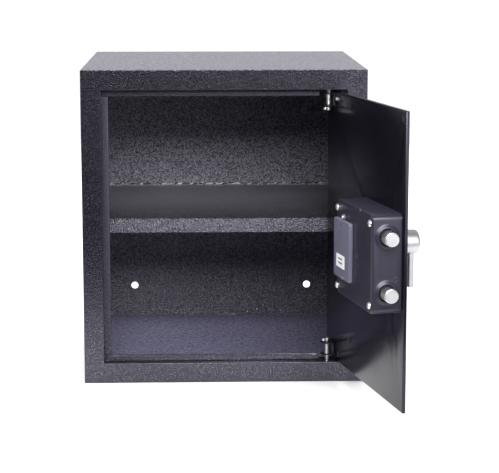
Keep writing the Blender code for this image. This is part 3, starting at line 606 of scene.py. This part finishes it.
def build_case_body():
    """The welded case as one skin: walls, back, front plate and its folded-back jambs."""
    low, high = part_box("front_frame")
    high.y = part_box("back_panel")[1].y
    plate_back = low.y + 0.003
    body = block("case_body", low, high)
    carve(body, block("cavity", (low.x + SHEET, plate_back, low.z + SHEET),
                      (high.x - SHEET, high.y - SHEET, high.z - SHEET)))
    carve(body, block("mouth", (-MOUTH_X, low.y - 0.01, MOUTH_Z[0]),
                      (MOUTH_X, plate_back + 0.01, MOUTH_Z[1])))
    sink = plate_back - 0.001
    bars = (
        ((-MOUTH_X - SHEET, sink, MOUTH_Z[0] - SHEET), (MOUTH_X, low.y + JAMB_DEPTH, MOUTH_Z[0])),
        ((-MOUTH_X - SHEET, sink, MOUTH_Z[1]), (MOUTH_X, low.y + JAMB_DEPTH, MOUTH_Z[1] + SHEET)),
        ((-MOUTH_X - SHEET, sink, MOUTH_Z[0] - SHEET / 2),
         (-MOUTH_X, low.y + SIDE_JAMB_DEPTH, MOUTH_Z[1] + SHEET / 2)),
    )
    for bar_low, bar_high in bars:
        carve(body, block("jamb", bar_low, bar_high), "UNION")
    for x, z in ANCHOR_HOLES:
        carve(body, lathe("hole", ((0, 0), (0, ANCHOR_R), (0.02, ANCHOR_R), (0.02, 0)),
                          (x, high.y - 0.01, z), (0, 1, 0), HERE, 48))
    for z in MOUTH_Z:
        carve(body, lathe("hole", ((0, 0), (0, 0.0032), (0.008, 0.0032), (0.008, 0)),
                          (HINGE_X, HINGE_Y, z - 0.004), (0, 0, 1), HERE, 32))
    tidy_faces(body)
    weighted_edges(body, low, high)
    body.data.shade_smooth()
    bevel = body.modifiers.new("round", "BEVEL")
    bevel.width = OUTER_EDGE_R
    bevel.segments = 3
    bevel.limit_method = "WEIGHT"
    bevel.use_clamp_overlap = False
    bevel.harden_normals = True
    settle(body)
    finish_piece(body, "case_body", "case", "case_paint", case_paint, "wall_base",
                 "wall_top", "wall_left", "wall_right", "back_panel", "front_frame")


def build_stops():
    for side, coat in (("top", stop_paint), ("left", stop_paint), ("bottom", case_paint)):
        node = "stop_strip_" + side
        finish_piece(refined(node, 0.0005, 2, HERE), "stop_" + side, "case", "case_paint",
                     coat, node)


def build_shelf():
    """A folded tray with a rounded front fold, a rear upstand and ears on the side walls."""
    low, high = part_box("shelf")
    top = 0.1985
    thick = 0.0015
    fold = 0.0022
    front = low.y
    back = high.y
    outline = arc((front + fold, top - fold), fold, 180, 90, 5)
    outline += [(back - thick, top), (back - thick, high.z), (back, high.z),
                (back, top - thick)]
    inner = fold - thick
    outline += arc((front + fold, top - fold), inner, 90, 180, 3)
    outline += [(front + thick, low.z + 0.0003), (front + thick - 0.0003, low.z),
                (front + 0.0003, low.z), (front, low.z + 0.0003)]
    bm = bmesh.new()
    ring = [bm.verts.new((low.x, y, z)) for y, z in outline]
    face = bm.faces.new(ring)
    swept = bmesh.ops.extrude_face_region(bm, geom=[face])
    moved = [item for item in swept["geom"] if isinstance(item, bmesh.types.BMVert)]
    bmesh.ops.translate(bm, verts=moved, vec=(high.x - low.x, 0, 0))
    shelf = smooth(from_bmesh(bm, "shelf_tray"), 40)
    ears = []
    for x in (low.x, high.x - thick):
        for y in (front + 0.004, back - 0.040):
            ear = block("ear", (x, y, top - 0.0148), (x + thick, y + 0.030, top - 0.0008))
            ears.append(soften(ear, 0.0004, 2))
    join(shelf, *ears)
    finish_piece(shelf, "shelf_tray", "case", "case_paint", case_paint, "shelf")
    # Painted shadow: a dark strip along the top of the rear upstand stands for the gap's shadow,
    # dotted with bright metallic patches.
    edge = block("shelf_rear_shadow_line", (low.x + 0.004, back - thick - 0.0003, high.z - 0.0019),
                 (high.x - 0.004, back - thick + 0.0002, high.z + 0.0003))
    finish_piece(soften(edge, 0.0002, 2), "shelf_rear_shadow_line", "case", "case_paint", gap_shadow_paint)


def build_carpet():
    """The felt mat: a slab whose upper face is pushed into low, irregular tufts."""
    low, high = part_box("floor_mat")
    step = 0.0022
    across = round((high.x - low.x) / step)
    deep = round((high.y - low.y) / step)
    rng = random.Random(7)
    bm = bmesh.new()
    rows = []
    for row in range(deep + 1):
        line = []
        for col in range(across + 1):
            x = low.x + (high.x - low.x) * col / across
            y = low.y + (high.y - low.y) * row / deep
            rim = min(col, across - col, row, deep - row)
            drop = 0.0009 if rim == 0 else 0.0002 if rim == 1 else 0.0
            z = high.z - drop - 0.0004 * rng.random()
            if rim == 0:
                x += 0.0003 * rng.random() * (1 if col < across / 2 else -1)
                y += 0.0003 * rng.random() * (1 if row < deep / 2 else -1)
            line.append(bm.verts.new((x, y, z)))
        rows.append(line)
    for row in range(deep):
        for col in range(across):
            bm.faces.new((rows[row][col], rows[row][col + 1], rows[row + 1][col + 1],
                          rows[row + 1][col]))
    rim = [edge for edge in bm.edges if edge.is_boundary]
    skirt = bmesh.ops.extrude_edge_only(bm, edges=rim)
    for item in skirt["geom"]:
        if isinstance(item, bmesh.types.BMVert):
            item.co.z = low.z
    bottom = [edge for edge in bm.edges if edge.is_boundary]
    bmesh.ops.edgeloop_fill(bm, edges=bottom)
    mat = from_bmesh(bm, "carpet")
    mat.data.shade_smooth()
    mat.data.set_sharp_from_angle(angle=math.radians(60))
    finish_piece(mat, "carpet", "case", "floor_felt", felt, "floor_mat")


# ---- door and hinges --------------------------------------------------------------------------
def build_door():
    finish_piece(refined("door_plate", 0.0008, 3), "door_leaf", "door", "door_paint",
                 door_paint, "door_plate")
    face = door_span("door_plate")[1].y
    plug = lathe("hanging_plug", ((0, 0), (0, 0.0032), (0.0004, 0.0032), (0.0007, 0.0028),
                                  (0.0008, 0)),
                 at(PLUG[0], face - 0.0002, PLUG[1]), (0, 1, 0), steps=40)
    finish_piece(smooth(plug), "hanging_plug", "door", "lock_case_paint", lock_paint)
    flank = door_span("lock_case")[1].x
    stud = lathe("case_rivet", ((-0.0003, 0), (-0.0003, 0.0028), (0, 0.0028), (0.0002, 0.0025),
                                (0.00025, 0.0020), (0.0001, 0.0017), (0.0001, 0)),
                 at(flank, 0.0005, CASE_RIVET_Z), (-1, 0, 0), steps=40)
    finish_piece(smooth(stud), "case_rivet", "door", "lock_case_paint", lock_paint)
    for index, (reach, z, radius) in enumerate(SPOT_WELDS):
        dome = lathe("dent", [(-0.0002, radius), (0.0, radius), (0.0002, radius * 0.86),
                              (0.0005, radius * 0.6), (0.0007, radius * 0.3), (0.00075, 0)],
                     at(reach, face, z), (0, 1, 0), steps=40)
        finish_piece(smooth(dome, 60), f"spot_weld_{index}", "door", "door_paint", lock_paint)
    rivet = lathe("rivet", ((0, 0), (0, 0.0026), (0.0005, 0.0026), (0.0010, 0.0021),
                            (0.0013, 0.0012), (0.0014, 0)),
                  at(HINGE_RIVET[0], face - 0.0001, HINGE_RIVET[1]), (0, 1, 0), steps=40)
    finish_piece(smooth(rivet, 50), "hinge_rivet", "door", "zinc_steel", zinc)


def build_hinges():
    for word, side in (("upper", 1), ("lower", -1)):
        node = "hinge_bracket_" + word
        dress(node, 0.0003, "bracket_" + word, "door", "door_paint", door_paint)
        low, high = door_span(node)
        near = high.z if side > 0 else low.z
        far = low.z if side > 0 else high.z
        tip = near + side * 0.0090
        tail = far - side * 0.0028
        pin = lathe("pin", ((0, 0), (0, 0.0020), (0.0009, 0.0029), (0.0103, 0.0029),
                            (0.0108, 0.0029), (0.0108, 0.0037), (0.0123, 0.0037),
                            (0.0123, 0.0023), (0.0305, 0.0023), (0.0308, 0.0018),
                            (0.0308, 0)),
                    at(0, 0, tip), (0, 0, -side), steps=40)
        pin = soften(smooth(pin), 0.0002, 2)
        rod = tube("tail", [at(0, 0, tail), at(0.0015, 0.0040, tail)], 0.0013)
        ball = lathe("ball", [(0.0025 - 0.0025 * math.cos(math.pi * i / 14),
                               0.0025 * math.sin(math.pi * i / 14)) for i in range(15)],
                     at(0.0018, 0.0022, tail), (0, 1, 0), steps=28)
        join(pin, rod, smooth(ball, 60))
        finish_piece(pin, "pin_" + word, "hinge_pin_" + word, "zinc_steel", zinc,
                     "hinge_pin_" + word)
        build_coil(word, near, side)
        build_welds(word, low, high)


def build_coil(word, near, side):
    """The pin's spring at its rest length; it doesn't shorten as the pin is drawn."""
    start = near - side * 0.0041
    end = near - side * 0.0143
    radius = 0.0030
    turns = 7
    points = []
    for index in range(turns * 24 + 1):
        share = index / (turns * 24)
        angle = 2 * math.pi * turns * share
        points.append((radius * math.cos(angle), radius * math.sin(angle),
                       start + (end - start) * share))
    finish_piece(tube("coil_" + word, points, 0.0004), "coil_" + word, "door", "zinc_steel",
                 zinc, "hinge_spring_" + word)


def build_welds(word, low, high):
    """A weld bead along the bracket's foot, cut short where a stop strip meets the door."""
    depth = low.y + 0.0003
    points = []
    rng = random.Random(3)
    start = max(low.z, WELD_Z[0])
    end = min(high.z, WELD_Z[1])
    for index in range(25):
        z = start + (end - start) * index / 24
        points.append(at(high.x + 0.0006 + 0.0003 * rng.random(), depth, z))
    bead = tube("weld_" + word, points, 0.0011)
    finish_piece(bead, "weld_" + word, "door", "door_paint", door_paint)


# ---- lock case --------------------------------------------------------------------------------
def pan_screw(name, centre, radius, height):
    """A pan-head screw with a cross recess, standing out along +depth."""
    steps = 8
    profile = [(0, 0), (0, radius)]
    for index in range(1, steps + 1):
        angle = math.pi / 2 * index / steps
        profile.append((height * (0.35 + 0.65 * math.sin(angle)),
                        radius * (0.25 + 0.75 * math.cos(angle)) if index < steps
                        else radius * 0.25))
    profile.append((height, 0))
    head = lathe(name, profile, centre, (0, 1, 0), steps=48)
    half = radius * 0.13
    arm = radius * 0.52
    sunk = centre.y + height * 0.45
    for wide, tall in ((arm, half), (half, arm)):
        cross = block("cross", (centre.x - wide, sunk, centre.z - tall),
                      (centre.x + wide, centre.y + height + 0.002, centre.z + tall), DOOR)
        carve(head, cross)
    return smooth(head, 40)


def rounded_case(name, low, high, corner, edge, steps=6):
    """A pressed box: corner rounds its four sides, edge the rim of its inner face."""
    obj = door_block(name, low, high)
    bm = bmesh.new()
    bm.from_mesh(obj.data)
    upright = [e for e in bm.edges
               if abs(e.verts[0].co.x - e.verts[1].co.x) < SEAM
               and abs(e.verts[0].co.z - e.verts[1].co.z) < SEAM]
    bmesh.ops.bevel(bm, geom=upright, offset=corner, segments=steps, profile=0.5,
                    affect="EDGES", clamp_overlap=True)
    if edge:
        top = max(v.co.y for v in bm.verts)
        rim = [e for e in bm.edges if all(abs(v.co.y - top) < SEAM for v in e.verts)]
        bmesh.ops.bevel(bm, geom=rim, offset=edge, segments=4, profile=0.5,
                        affect="EDGES", clamp_overlap=True)
    bmesh.ops.recalc_face_normals(bm, faces=bm.faces)
    bm.to_mesh(obj.data)
    bm.free()
    return obj


def bolt_centres():
    for word in ("lower", "upper"):
        low, high = door_span("bolt_" + word)
        yield word, (low.y + high.y) / 2, (low.z + high.z) / 2


def build_lock_case():
    low, high = door_span("lock_case")
    wall = 0.0018
    shell = rounded_case("lock_cover", low, high, 0.0065, 0.0028)
    inside = rounded_case("inside", (low.x + wall, low.y - 0.01, low.z + wall),
                          (high.x - wall, high.y - wall, high.z - wall), 0.0048, 0.0012)
    carve(shell, inside)
    cover_low, cover_high = door_span("battery_cover")
    seat = 0.0014
    carve(shell, rounded_case("window", (cover_low.x + seat, high.y - 0.01, cover_low.z + seat),
                              (cover_high.x - seat, high.y + 0.01, LID_TOP - seat),
                              0.002, 0))
    for _, depth, z in bolt_centres():
        carve(shell, lathe("bore", ((0, 0), (0, 0.0101), (0.02, 0.0101), (0.02, 0)),
                           at(high.x - 0.01, depth, z), (-1, 0, 0), steps=64))
    button_low, button_high = door_span("reset_button")
    button = ((button_low.x + button_high.x) / 2, (button_low.z + button_high.z) / 2)
    carve(shell, lathe("bore", ((0, 0), (0, 0.0022), (0.02, 0.0022), (0.02, 0)),
                       at(button[0], high.y - 0.01, button[1]), (0, 1, 0), steps=40))
    notch = lathe("notch", ((0, 0), (0, 0.0034), (0.02, 0.0034), (0.02, 0)),
                  at(0.2262, high.y - 0.0035, high.z - 0.0004), (0, 1, 0), steps=40)
    carve(shell, notch)
    smooth(shell, 30)
    finish_piece(shell, "lock_cover", "door", "lock_case_paint", lock_paint, "lock_case")
    eyelet = lathe("eyelet", ((-0.0005, 0.0020), (0.0005, 0.0020), (0.0006, 0.0023),
                              (0.0005, 0.0030), (0.0000, 0.0033), (-0.0005, 0.0033)),
                   at(button[0], high.y, button[1]), (0, 1, 0), steps=40, ring=True)
    finish_piece(smooth(eyelet), "reset_eyelet", "door", "lock_case_paint", lock_paint)
    for number in range(1, 5):
        node = f"lock_case_screw_{number}"
        s_low, s_high = door_span(node)
        middle = (s_low + s_high) / 2
        head = pan_screw(node, at(middle.x, s_low.y, middle.z), 0.0040, 0.0024)
        finish_piece(head, f"cover_screw_{number}", "door", "zinc_steel", zinc, node)


def build_bushes():
    """Raised collars round the bolts, pressed out of the lock case's side."""
    face = door_span("lock_case")[1].x
    for word, depth, z in bolt_centres():
        profile = ((-0.0018, 0.0100), (-0.0018, 0.0092), (0.0012, 0.0092), (0.0018, 0.0095),
                   (0.0020, 0.0100), (0.0019, 0.0107), (0.0014, 0.0117), (0.0007, 0.0129),
                   (0.0002, 0.0140), (0.0000, 0.0148), (-0.0003, 0.0148), (-0.0003, 0.0100))
        collar = lathe("collar_" + word, profile, at(face, depth, z), (-1, 0, 0), steps=72,
                       ring=True)
        finish_piece(smooth(collar, 50), "collar_" + word, "door", "lock_case_paint",
                     lock_paint, "bolt_bush_" + word)


def build_bolts():
    for word, depth, z in bolt_centres():
        low, high = door_span("bolt_" + word)
        radius = (high.z - low.z) / 2
        long = high.x - low.x
        profile = ((0, 0), (0, radius - 0.0006), (0.0006, radius), (long - 0.0010, radius),
                   (long - 0.0004, radius - 0.0003), (long, radius - 0.0010), (long, 0))
        bolt = lathe("bolt_" + word, profile, at(low.x, depth, z), (-1, 0, 0), steps=72)
        finish_piece(smooth(bolt, 25), "round_bolt_" + word, "bolts", "bolt_steel",
                     bolt_metal, "bolt_" + word)
    dress("bolt_carriage", 0.0003, "carriage", "bolts", "zinc_steel", zinc)


def build_knob():
    low, high = door_span("knob")
    rose_low, rose_high = door_span("knob_rose")
    centre_u = (rose_low.x + rose_high.x) / 2
    centre_z = (rose_low.z + rose_high.z) / 2
    long = high.y - low.y
    profile = [(0, 0), (0, 0.0134), (0.0006, 0.0140), (long - 0.0034, 0.0137)]
    for index in range(1, 7):
        angle = math.pi / 2 * index / 6
        profile.append((long - 0.0034 + 0.0034 * math.sin(angle),
                        0.0137 - 0.0034 * (1 - math.cos(angle))))
    profile.append((long - 0.0003, 0.0040))
    profile.append((long - 0.0004, 0))
    knob = smooth(lathe("knob_body", profile, at(centre_u, high.y, centre_z), (0, -1, 0),
                        steps=80), 30)
    lever = door_block("lever", (centre_u - 0.0060, low.y + 0.0050, low.z),
                       (centre_u + 0.0060, low.y + 0.0115, centre_z - 0.004))
    lever = soften(lever, 0.0018, 4)
    join(knob, lever)
    finish_piece(knob, "knob_and_lever", "knob", "satin_chrome", chrome, "knob")
    dress("knob_spindle", 0.0003, "spindle", "knob", "zinc_steel", zinc)
    rose = lathe("rose", ((0, 0.0045), (0, 0.0175), (0.0022, 0.0175), (0.0030, 0.0170),
                          (0.0034, 0.0160), (0.0034, 0.0045)),
                 at(centre_u, rose_high.y, centre_z), (0, -1, 0), steps=72, ring=True)
    finish_piece(smooth(rose), "rose", "door", "satin_chrome", chrome, "knob_rose")


def build_inside():
    dress("lock_chassis", 0.0003, "chassis", "door", "zinc_steel", zinc)
    dress("solenoid", 0.0004, "coil_magnet", "door", "zinc_steel", zinc)
    dress("circuit_board", 0.0002, "logic_board", "door", "circuit_board", board_green)
    dress("battery_tray", 0.0004, "cell_tray", "door", "black_plastic", black_plastic)
    for number in range(1, 5):
        node = f"battery_cell_{number}"
        low, high = door_span(node)
        middle = (low + high) / 2
        top = high.z - 0.0017 - low.z
        profile = ((0, 0), (0, 0.0062), (0.0005, 0.0068), (0.0008, 0.0070),
                   (top * 0.72, 0.0070), (top - 0.0008, 0.0070), (top - 0.0003, 0.0067),
                   (top, 0.0060), (top, 0.0028), (top + 0.0014, 0.0027),
                   (top + 0.0017, 0.0024), (top + 0.0017, 0))
        cell = lathe("cell", profile, at(middle.x, middle.y, low.z), (0, 0, 1), steps=40)
        for look in (cell_sleeve, cell_band, zinc):
            cell.data.materials.append(look)
        for face in cell.data.polygons:
            height = face.center.z - low.z
            wide = math.hypot(face.center.x + middle.x, face.center.y - middle.y)
            if wide < 0.0060:
                face.material_index = 2
            elif height > top * 0.72:
                face.material_index = 1
        finish_piece(smooth(cell), f"cell_{number}", "door", "cell_sleeve", None, node)
    finish_piece(refined("keypad_cable"), "lead", "door", "cable_jacket", cable_jacket,
                 "keypad_cable")


def build_cover():
    """The battery door: a shallow moulded lid with a screw, a latch and a label with two bars."""
    low, high = door_span("battery_cover")
    face = door_span("lock_case")[1].y + LID_PROUD
    lid = rounded_case("cell_cover", low, (high.x, face, LID_TOP), 0.0030, 0.0009, 6)
    inside = rounded_case("inside", (low.x + 0.002, low.y - 0.01, low.z + 0.002),
                          (high.x - 0.002, face - 0.0018, LID_TOP - 0.002), 0.0028, 0)
    carve(lid, inside)
    s_low, s_high = door_span("battery_cover_screw")
    centre = (s_low + s_high) / 2
    carve(lid, lathe("peg_hole", ((0, 0), (0, 0.0018), (0.01, 0.0018), (0.01, 0)),
                     at(centre.x, face - 0.005, LID_TOP - 0.0052), (0, 1, 0), steps=24))
    carve(lid, door_block("nail_gap", (0.1733, face - 0.0016, low.z - 0.001),
                          (0.1815, face + 0.001, low.z + 0.0011)))
    smooth(lid, 30)
    tab = rounded_case("tab", (centre.x - 0.0047, low.y, LID_TOP - 0.0010),
                       (centre.x + 0.0047, s_low.y - 0.0003, high.z), 0.0042, 0.0004, 6)
    latch = door_block("latch", (0.1728, face - 0.0006, low.z + 0.0010),
                       (0.1820, face + 0.0019, low.z + 0.0038))
    join(lid, smooth(tab, 30), soften(latch, 0.0006, 3))
    finish_piece(lid, "cell_cover", "battery_cover", "cover_plastic", cover_plastic,
                 "battery_cover")
    head = pan_screw("lid_screw", at(centre.x, s_low.y, centre.z), 0.0025, 0.0014)
    finish_piece(head, "lid_screw", "battery_cover", "zinc_steel", zinc,
                 "battery_cover_screw")
    label = rounded_case("label", (0.1515, face - 0.0002, 0.1740),
                         (0.1836, face + 0.00015, 0.1890), 0.0008, 0, 3)
    finish_piece(smooth(label), "blank_label", "battery_cover", "cover_plastic", label_paper)
    for index, z in enumerate((0.1835, 0.1785)):
        dash = door_block("dash", (0.1600, face, z), (0.1750, face + 0.0003, z + 0.0016))
        finish_piece(dash, f"label_dash_{index}", "battery_cover", "cover_plastic", label_ink)


def build_reset():
    low, high = door_span("reset_button")
    middle = (low + high) / 2
    long = high.y - low.y
    button = lathe("reset", ((0, 0), (0, 0.0018), (long - 0.0005, 0.0018),
                             (long - 0.0001, 0.0014), (long, 0.0007), (long, 0)),
                   at(middle.x, low.y, middle.z), (0, 1, 0), steps=40)
    finish_piece(smooth(button), "reset_press", "reset_button", "black_plastic",
                 black_plastic, "reset_button")


# ---- keypad -----------------------------------------------------------------------------------
def digit_mesh(mark, place):
    curve = bpy.data.curves.new("digit", "FONT")
    curve.body = mark
    curve.size = 0.0085
    curve.extrude = 0.00006
    curve.align_x = "CENTER"
    curve.align_y = "CENTER"
    curve.resolution_u = 4
    obj = bpy.data.objects.new("digit", curve)
    bpy.context.scene.collection.objects.link(obj)
    obj.matrix_world = place
    return settle(obj)


def build_keypad():
    low, high = door_span("keypad_housing")
    housing = refined("keypad_housing")
    bm = bmesh.new()
    bm.from_mesh(housing.data)
    corners = [e for e in bm.edges
               if abs(e.verts[0].co.x - e.verts[1].co.x) < SEAM
               and abs(e.verts[0].co.z - e.verts[1].co.z) < SEAM
               and min(abs(-e.verts[0].co.x - low.x), abs(-e.verts[0].co.x - high.x)) < 0.0001
               and min(abs(e.verts[0].co.z - low.z), abs(e.verts[0].co.z - high.z)) < 0.0001]
    bmesh.ops.bevel(bm, geom=corners, offset=0.008, segments=8, profile=0.5,
                    affect="EDGES", clamp_overlap=False)
    rim = [e for e in bm.edges
           if all(abs(v.co.y - low.y) < SEAM for v in e.verts)
           and all(min(v.co.z - low.z, high.z - v.co.z, -v.co.x - low.x, high.x + v.co.x) < 0.0085
                   for v in e.verts)
           and len([f for f in e.link_faces if abs(f.normal.y) < 0.5]) == 1
           and max(min(v.co.z - low.z, high.z - v.co.z, -v.co.x - low.x, high.x + v.co.x)
                   for v in e.verts) < 0.0035]
    bmesh.ops.bevel(bm, geom=rim, offset=0.0022, segments=4, profile=0.5, affect="EDGES",
                    clamp_overlap=False)
    bmesh.ops.recalc_face_normals(bm, faces=bm.faces)
    bm.to_mesh(housing.data)
    bm.free()
    smooth(housing, 30)
    finish_piece(housing, "keypad_case", "door", "black_plastic", black_plastic,
                 "keypad_housing")
    dress("keypad_window", 0.0004, "display", "door", "display_window", display_window)
    marks = "123456789*0#"
    for number, mark in enumerate(marks, start=1):
        node = f"key_{number:02d}"
        k_low, k_high = door_span(node)
        key = rounded_case(node, (k_low.x, -k_high.y, k_low.z), (k_high.x, -k_low.y, k_high.z),
                           0.0022, 0.0011, 5)
        key.data.transform(Matrix.Scale(-1.0, 4, (0, 1, 0)))
        key.data.flip_normals()
        smooth(key, 40)
        key.data.materials.append(key_rubber)
        turn = Matrix.Rotation(math.radians(90), 4, "X")
        centre = (k_low + k_high) / 2
        spot = Matrix.Translation(at(centre.x, k_low.y - 0.00002, centre.z))
        digit = digit_mesh(mark, DOOR @ spot @ turn)
        digit.data.materials.clear()
        digit.data.materials.append(key_ink)
        join(key, digit)
        finish_piece(key, "press_" + node, node, "key_rubber", None, node)


def build_override():
    low, high = door_span("override_barrel")
    centre = (low + high) / 2
    long = high.y - low.y
    barrel = lathe("lock_barrel", ((0, 0.0060), (0, 0.0090), (long - 0.0006, 0.0090),
                                   (long, 0.0084), (long, 0.0064), (long - 0.0004, 0.0060)),
                   at(centre.x, high.y, centre.z), (0, -1, 0), steps=64, ring=True)
    finish_piece(smooth(barrel), "lock_barrel", "door", "zinc_steel", zinc, "override_barrel")
    dress("override_plug", 0.0002, "lock_plug", "override_plug", "zinc_steel", zinc)


build_case_body()
build_stops()
build_shelf()
build_carpet()
build_door()
build_hinges()
build_lock_case()
build_bushes()
build_bolts()
build_knob()
build_inside()
build_cover()
build_reset()
build_keypad()
build_override()


# ---- studio -----------------------------------------------------------------------------------
def build_floor():
    floor = block("floor", (-2.5, -0.62, -0.02), (2.5, 2.4, -0.0002))
    mat, tree, shader, coords = new_look("studio_floor")
    clouds = noise(tree, coords, 1.5, 2.0)
    tree.links.new(blend_colour(tree, clouds, (0.84, 0.84, 0.84), (0.86, 0.86, 0.86)),
                   shader.inputs["Base Color"])
    shader.inputs["Roughness"].default_value = 0.8
    floor.data.materials.append(mat)


def build_world():
    world = bpy.data.worlds.new("studio")
    bpy.context.scene.world = world
    world.use_nodes = True
    tree = world.node_tree
    way = add(tree, "ShaderNodeTexCoord").outputs["Generated"]
    split = add(tree, "ShaderNodeSeparateXYZ", {"Vector": way})
    behind = remap(tree, split.outputs["Y"], -0.30, 0.45, 0.05, 0.75)
    seen = add(tree, "ShaderNodeLightPath").outputs["Is Camera Ray"]
    level = maths(tree, "MAXIMUM", behind, maths(tree, "MULTIPLY", seen, 1.10))
    background = tree.nodes["Background"]
    background.inputs["Color"].default_value = (0.96, 0.95, 1.0, 1.0)
    tree.links.new(level, background.inputs["Strength"])


def softbox(name, place, target, size, power, spread=180.0, glossy=True):
    data = bpy.data.lights.new(name, "AREA")
    data.shape = "RECTANGLE"
    data.size = size[0]
    data.size_y = size[1]
    data.energy = power
    data.spread = math.radians(spread)
    obj = bpy.data.objects.new(name, data)
    bpy.context.scene.collection.objects.link(obj)
    obj.location = place
    aim = Vector(target) - Vector(place)
    obj.rotation_euler = aim.to_track_quat("-Z", "Y").to_euler()
    obj.visible_glossy = glossy


def build_camera():
    data = bpy.data.cameras.new("camera")
    data.sensor_width = 36.0
    data.lens = 123.87
    data.shift_x = -0.00553
    data.shift_y = -0.01178
    data.clip_start = 0.1
    data.clip_end = 20.0
    obj = bpy.data.objects.new("camera", data)
    bpy.context.scene.collection.objects.link(obj)
    obj.location = (-0.0332, -2.2674, 0.5414)
    obj.rotation_euler = (math.radians(90.0 - 9.4995), 0.0, math.radians(-1.8467))
    bpy.context.scene.camera = obj


build_floor()
build_world()
softbox("overhead", (0.0, -0.30, 1.7), (0.0, -0.30, 0.0), (1.0, 0.7), 5.5, 80.0, False)
softbox("backdrop", (0.0, 1.5, 1.7), (0.0, 1.3, 0.0), (2.6, 1.8), 48.0, 120.0, False)
softbox("front_key", (0.30, -2.30, 1.32), (0.0, 0.0, 0.15), (1.6, 0.9), 99.0)
softbox("right_low", (1.30, -2.25, 0.38), (0.0, -0.2, 0.2), (1.6, 0.9), 14.0)
softbox("left_side", (-1.75, -0.35, 0.75), (0.1, -0.3, 0.2), (1.2, 1.2), 6.0)
build_camera()
bpy.context.scene.view_settings.view_transform = "Standard"
